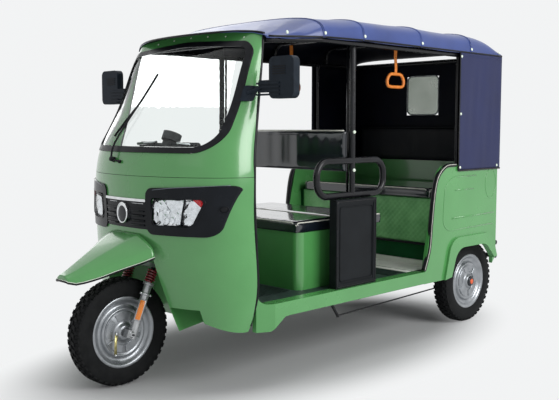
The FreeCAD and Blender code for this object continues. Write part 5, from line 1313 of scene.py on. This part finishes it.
def curtain(name, start, end, low, high, normal, columns, rows_up, hollow=None):
    """A hanging curtain between two upright lines, with a slight billow and creases that fall."""
    points = []
    for row in range(rows_up + 1):
        for column in range(columns + 1):
            share = column / columns
            up_share = row / rows_up
            place = start.lerp(end, share)
            up = low + (high - low) * up_share
            hold = math.sin(math.pi * share) * math.sin(math.pi * min(up_share * 1.02, 1))
            fold = 0.0011 * math.sin(share * 11 + up_share * 2.2)
            fold += 0.0009 * math.sin(share * 23 - up_share * 5)
            sink = 0.0006 + 0.0035 * hold + abs(fold) * (0.3 + hold)
            points.append(Vector((place.x, place.y, up)) - normal * sink)
    faces = []
    for corners in quads(rows_up + 1, columns + 1, columns_meet=False):
        middle = sum((points[corner] for corner in corners), Vector()) / 4
        if hollow and abs(middle.x) < hollow[0] and hollow[1] < middle.z < hollow[2]:
            continue
        faces.append(corners)
    return cloth(name, points, faces, curtain_blue, inside_painted_shade, normal)


for sign, word in both_sides:
    ends = [Vector((sign * side_curtain_across, back, 0)) for back in (side_curtain_front, side_curtain_back)]
    side_curtain = curtain("side_curtain_" + word, *ends, curtain_low, hem_up + 0.004, Vector((sign, 0, 0)),
                           30, 44)
    fitted(side_curtain, "chassis", "canopy_vinyl")
    edging = [Vector((sign * binding_across, back, up)) for back, up in (
        (side_curtain_front, hem_up), (side_curtain_front, curtain_low), (side_curtain_back, curtain_low))]
    fitted(tube("curtain_binding_" + word, edge_rubber, bent(edging, 0.01), 0.0050, 8, flat=0.5), "chassis",
           "black_rubber")
    stitched = []
    for up in (1.598, 1.590):
        stitch = bar("stitch", (-0.0006, -0.0022, -0.0005), (0.0006, 0.0022, 0.0005), 0.0002, canopy_blue)
        stitched.append(in_row("stitch_row", stitch, 54, (sign * 0.5716, side_curtain_front + 0.012, up),
                               (0, 0.0082, 0), canopy_blue))
    fitted(joined("curtain_stitches_" + word, stitched), "chassis", "canopy_vinyl")
back_curtain = curtain("back_curtain", Vector((-0.5695, side_curtain_back, 0)),
                       Vector((0.5695, side_curtain_back, 0)), curtain_low, hem_up + 0.008, Vector((0, 1, 0)),
                       92, 54, (window_half - 0.004, window_low + 0.004, window_high - 0.004))
fitted(back_curtain, "chassis", "canopy_vinyl")
hem_lines = []
for sign in (1, -1):
    line = []
    for step in range(49):
        back = -0.610 + (canopy_back - 0.002 + 0.610) * step / 48
        width, hem, roof, fill = canopy_row(back)
        line.append(Vector((sign * (width - 0.001), back, hem + 0.003)))
    hem_lines.append(tube("hem", edge_rubber, line, 0.0045, 8, flat=0.5))
lip = []
for step in range(41):
    across = -0.470 + 0.94 * step / 40
    back = brow(across) + 0.003
    low_share, high_share = 0.5, 1.0
    for _ in range(24):
        share = (low_share + high_share) / 2
        if canopy_spot(back, share).x < abs(across):
            low_share = share
        else:
            high_share = share
    spot = canopy_spot(back, share)
    lip.append(Vector((across, back, spot.z - 0.002)))
hem_lines.append(tube("front_lip", edge_rubber, lip, 0.0052, 8))
fitted(joined("canopy_binding", hem_lines), "chassis", "black_rubber")
seams = []
for back in bow_backs:
    for shift in (-0.004, 0.004):
        line = [canopy_spot(back + shift + 0.010 * (1 - abs(step / 48 - 0.5) * 2), step / 48, 0.0004)
                for step in range(49)]
        seams.append(tube("seam", canopy_blue, line, 0.0024 if shift < 0 else 0.0016, 6))
fitted(joined("canopy_seams", seams), "chassis", "canopy_vinyl")
snap_spots = []
for sign in (1, -1):
    for back in (-0.520, *bow_backs, 1.225):
        width, hem, roof, fill = canopy_row(back)
        snap_spots.append((Vector((sign * (width - 0.0002), back + 0.008, hem + 0.022)),
                           Vector((sign, 0, 0.05))))
    for back, up in ((0.834, 1.585), (0.834, 1.262), (0.836, 0.958), (1.236, 0.958)):
        snap_spots.append((Vector((sign * 0.5702, back, up)), Vector((sign, 0, 0))))
fitted(set_out("canopy_snaps", shaped("snap_shape", *dome(0.0082, 0.0038), pale_line), snap_spots, pale_line),
       "chassis", "chrome")
painted(frame_black, "canopy_frame", "canopy_bows")

# Rear window: a clear vinyl pane welded behind a pale sewn edge of the back curtain.
pane_vinyl = made_of("pane_vinyl", ((146, 155, 144), (176, 183, 174)), grain=6, rough=(0.15, 0.3), bump=0.2,
                     bump_grain=30, transmission_weight=0.75)
edge_grey = made_of("edge_grey", ((150, 156, 158), (178, 184, 184)), grain=30, rough=(0.4, 0.5))
painted(pane_vinyl, "rear_window")
window_tall, window_up = (window_high - window_low) / 2 - 0.002, (window_low + window_high) / 2
for depth, name in ((1.2655, "inside"), (1.2722, "outside")):
    outline = [Vector((u, depth, window_up + v))
               for u, v in round_corners(window_half - 0.002, window_tall, window_round)]
    fitted(tube("window_edge_" + name, edge_grey, outline, 0.0042, 8, True), "chassis", "canopy_vinyl")

# Hand straps: orange webbing with punched holes, looped round a moulded ring.
strap_orange = made_of("strap_orange", ((206, 112, 34), (230, 138, 52)), grain=60, rough=(0.4, 0.55),
                       bump=0.5, bump_grain=1400)
for sign, word in both_sides:
    across = sign * 0.400
    strap_back = bow_backs[2]
    middle = Vector((across, strap_back, 0))
    ring = [middle + Vector((0, back, up)) for back, up in (
        (-0.050, 1.476), (0.050, 1.476), (0.075, 1.444), (0.070, 1.412), (0.046, 1.4062),
        (-0.046, 1.4062), (-0.070, 1.412), (-0.075, 1.444))]
    ring_piece = tube("strap_ring_" + word, strap_orange, bent(ring, 0.030, True, 4), 0.0088, 10, True,
                      flat=0.9)
    web_points = []
    web_rows = 24
    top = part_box("grab_straps")[1].z
    for row in range(web_rows + 1):
        up = 1.470 + (top - 0.002 - 1.470) * row / web_rows
        half_wide = 0.0095 + 0.0038 * row / web_rows
        twist = 0.002 * math.sin(row * 0.4)
        for face_side in (-1, 1):
            for back in (-half_wide, half_wide):
                web_points.append(Vector((across + face_side * 0.0016 + twist, strap_back + back, up)))
    web_faces = []
    for row in range(web_rows):
        low = row * 4
        for first, second in ((0, 1), (1, 3), (3, 2), (2, 0)):
            web_faces.append((low + first, low + second, low + 4 + second, low + 4 + first))
    web_faces += [(0, 1, 3, 2), (web_rows * 4, web_rows * 4 + 2, web_rows * 4 + 3, web_rows * 4 + 1)]
    web = shaped("strap_web_" + word, web_points, web_faces, strap_orange, False)
    eyelet = [(-0.0026, 0), (-0.0026, 0.0024), (0.0026, 0.0024), (0.0026, 0)]
    holes = [shaped("eyelet", *turned(eyelet, Vector((across, strap_back, up)), 10, False), matte_black)
             for up in (1.515, 1.54, 1.565)]
    strap = joined("hand_strap_" + word, [web, ring_piece, *holes])
    fitted(strap, "chassis", "strap_web", *(["grab_straps"] if sign == 1 else []))

# Running gear and rear end: a painted motor on the axle, a sealed battery case, the tube bumper,
# two lens lamps and a blank plate.
motor_grey = made_of("motor_grey", ((92, 96, 100), (118, 122, 126)), grain=16, rough=(0.35, 0.5), bump=0.3,
                     bump_grain=250, metallic=0.6)
case_black = made_of("case_black", ((24, 25, 28), (38, 39, 42)), grain=22, rough=(0.5, 0.65), bump=0.3,
                     bump_grain=200)
plate_white = made_of("plate_white", ((226, 226, 222), (238, 238, 234)), grain=8, rough=(0.35, 0.45),
                      bump=0.1)
painted(motor_grey, "motor")
painted(case_black, "battery")
painted(frame_black, "rear_bumper")
painted(lamp_red, "tail_lamps")
painted(plate_white, "number_plate")
lamp_low, lamp_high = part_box("tail_lamps")
tail_lamp_across = 0.470
for sign, word in both_sides:
    rows_of = in_row("flutes", bar("flute", (-0.031, -0.0012, 0), (0.031, 0.0012, 0.003), 0.0008, lamp_red),
                     13, (sign * tail_lamp_across, lamp_high.y, lamp_low.z + 0.010), (0, 0, 0.0102), lamp_red)
    rim = [Vector((sign * tail_lamp_across + u, lamp_high.y - 0.003, (lamp_low.z + lamp_high.z) / 2 + v))
           for u, v in round_corners(0.036, 0.076, 0.008)]
    rim_piece = tube("lamp_rim", bezel_black, rim, 0.0032, 8, True)
    fitted(joined("tail_lamp_lens_" + word, [rows_of, rim_piece]), "chassis", "red_lens")
plate_border = [Vector((u, 1.2618, 0.625 + v)) for u, v in round_corners(0.124, 0.059, 0.008)]
fitted(tube("plate_border", cap_dark, plate_border, 0.0014, 6, True), "chassis", "plate_white")
motor_low, motor_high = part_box("motor")
fins = in_row("motor_fins", bar("fin", (-0.0015, -0.09, 0.0), (0.0015, 0.09, 0.006), 0.0006, motor_grey), 12,
              (motor_low.x + 0.03, (motor_low.y + motor_high.y) / 2, motor_high.z - 0.02), (0.0155, 0, 0),
              motor_grey)
fitted(fins, "chassis", "silver_paint")
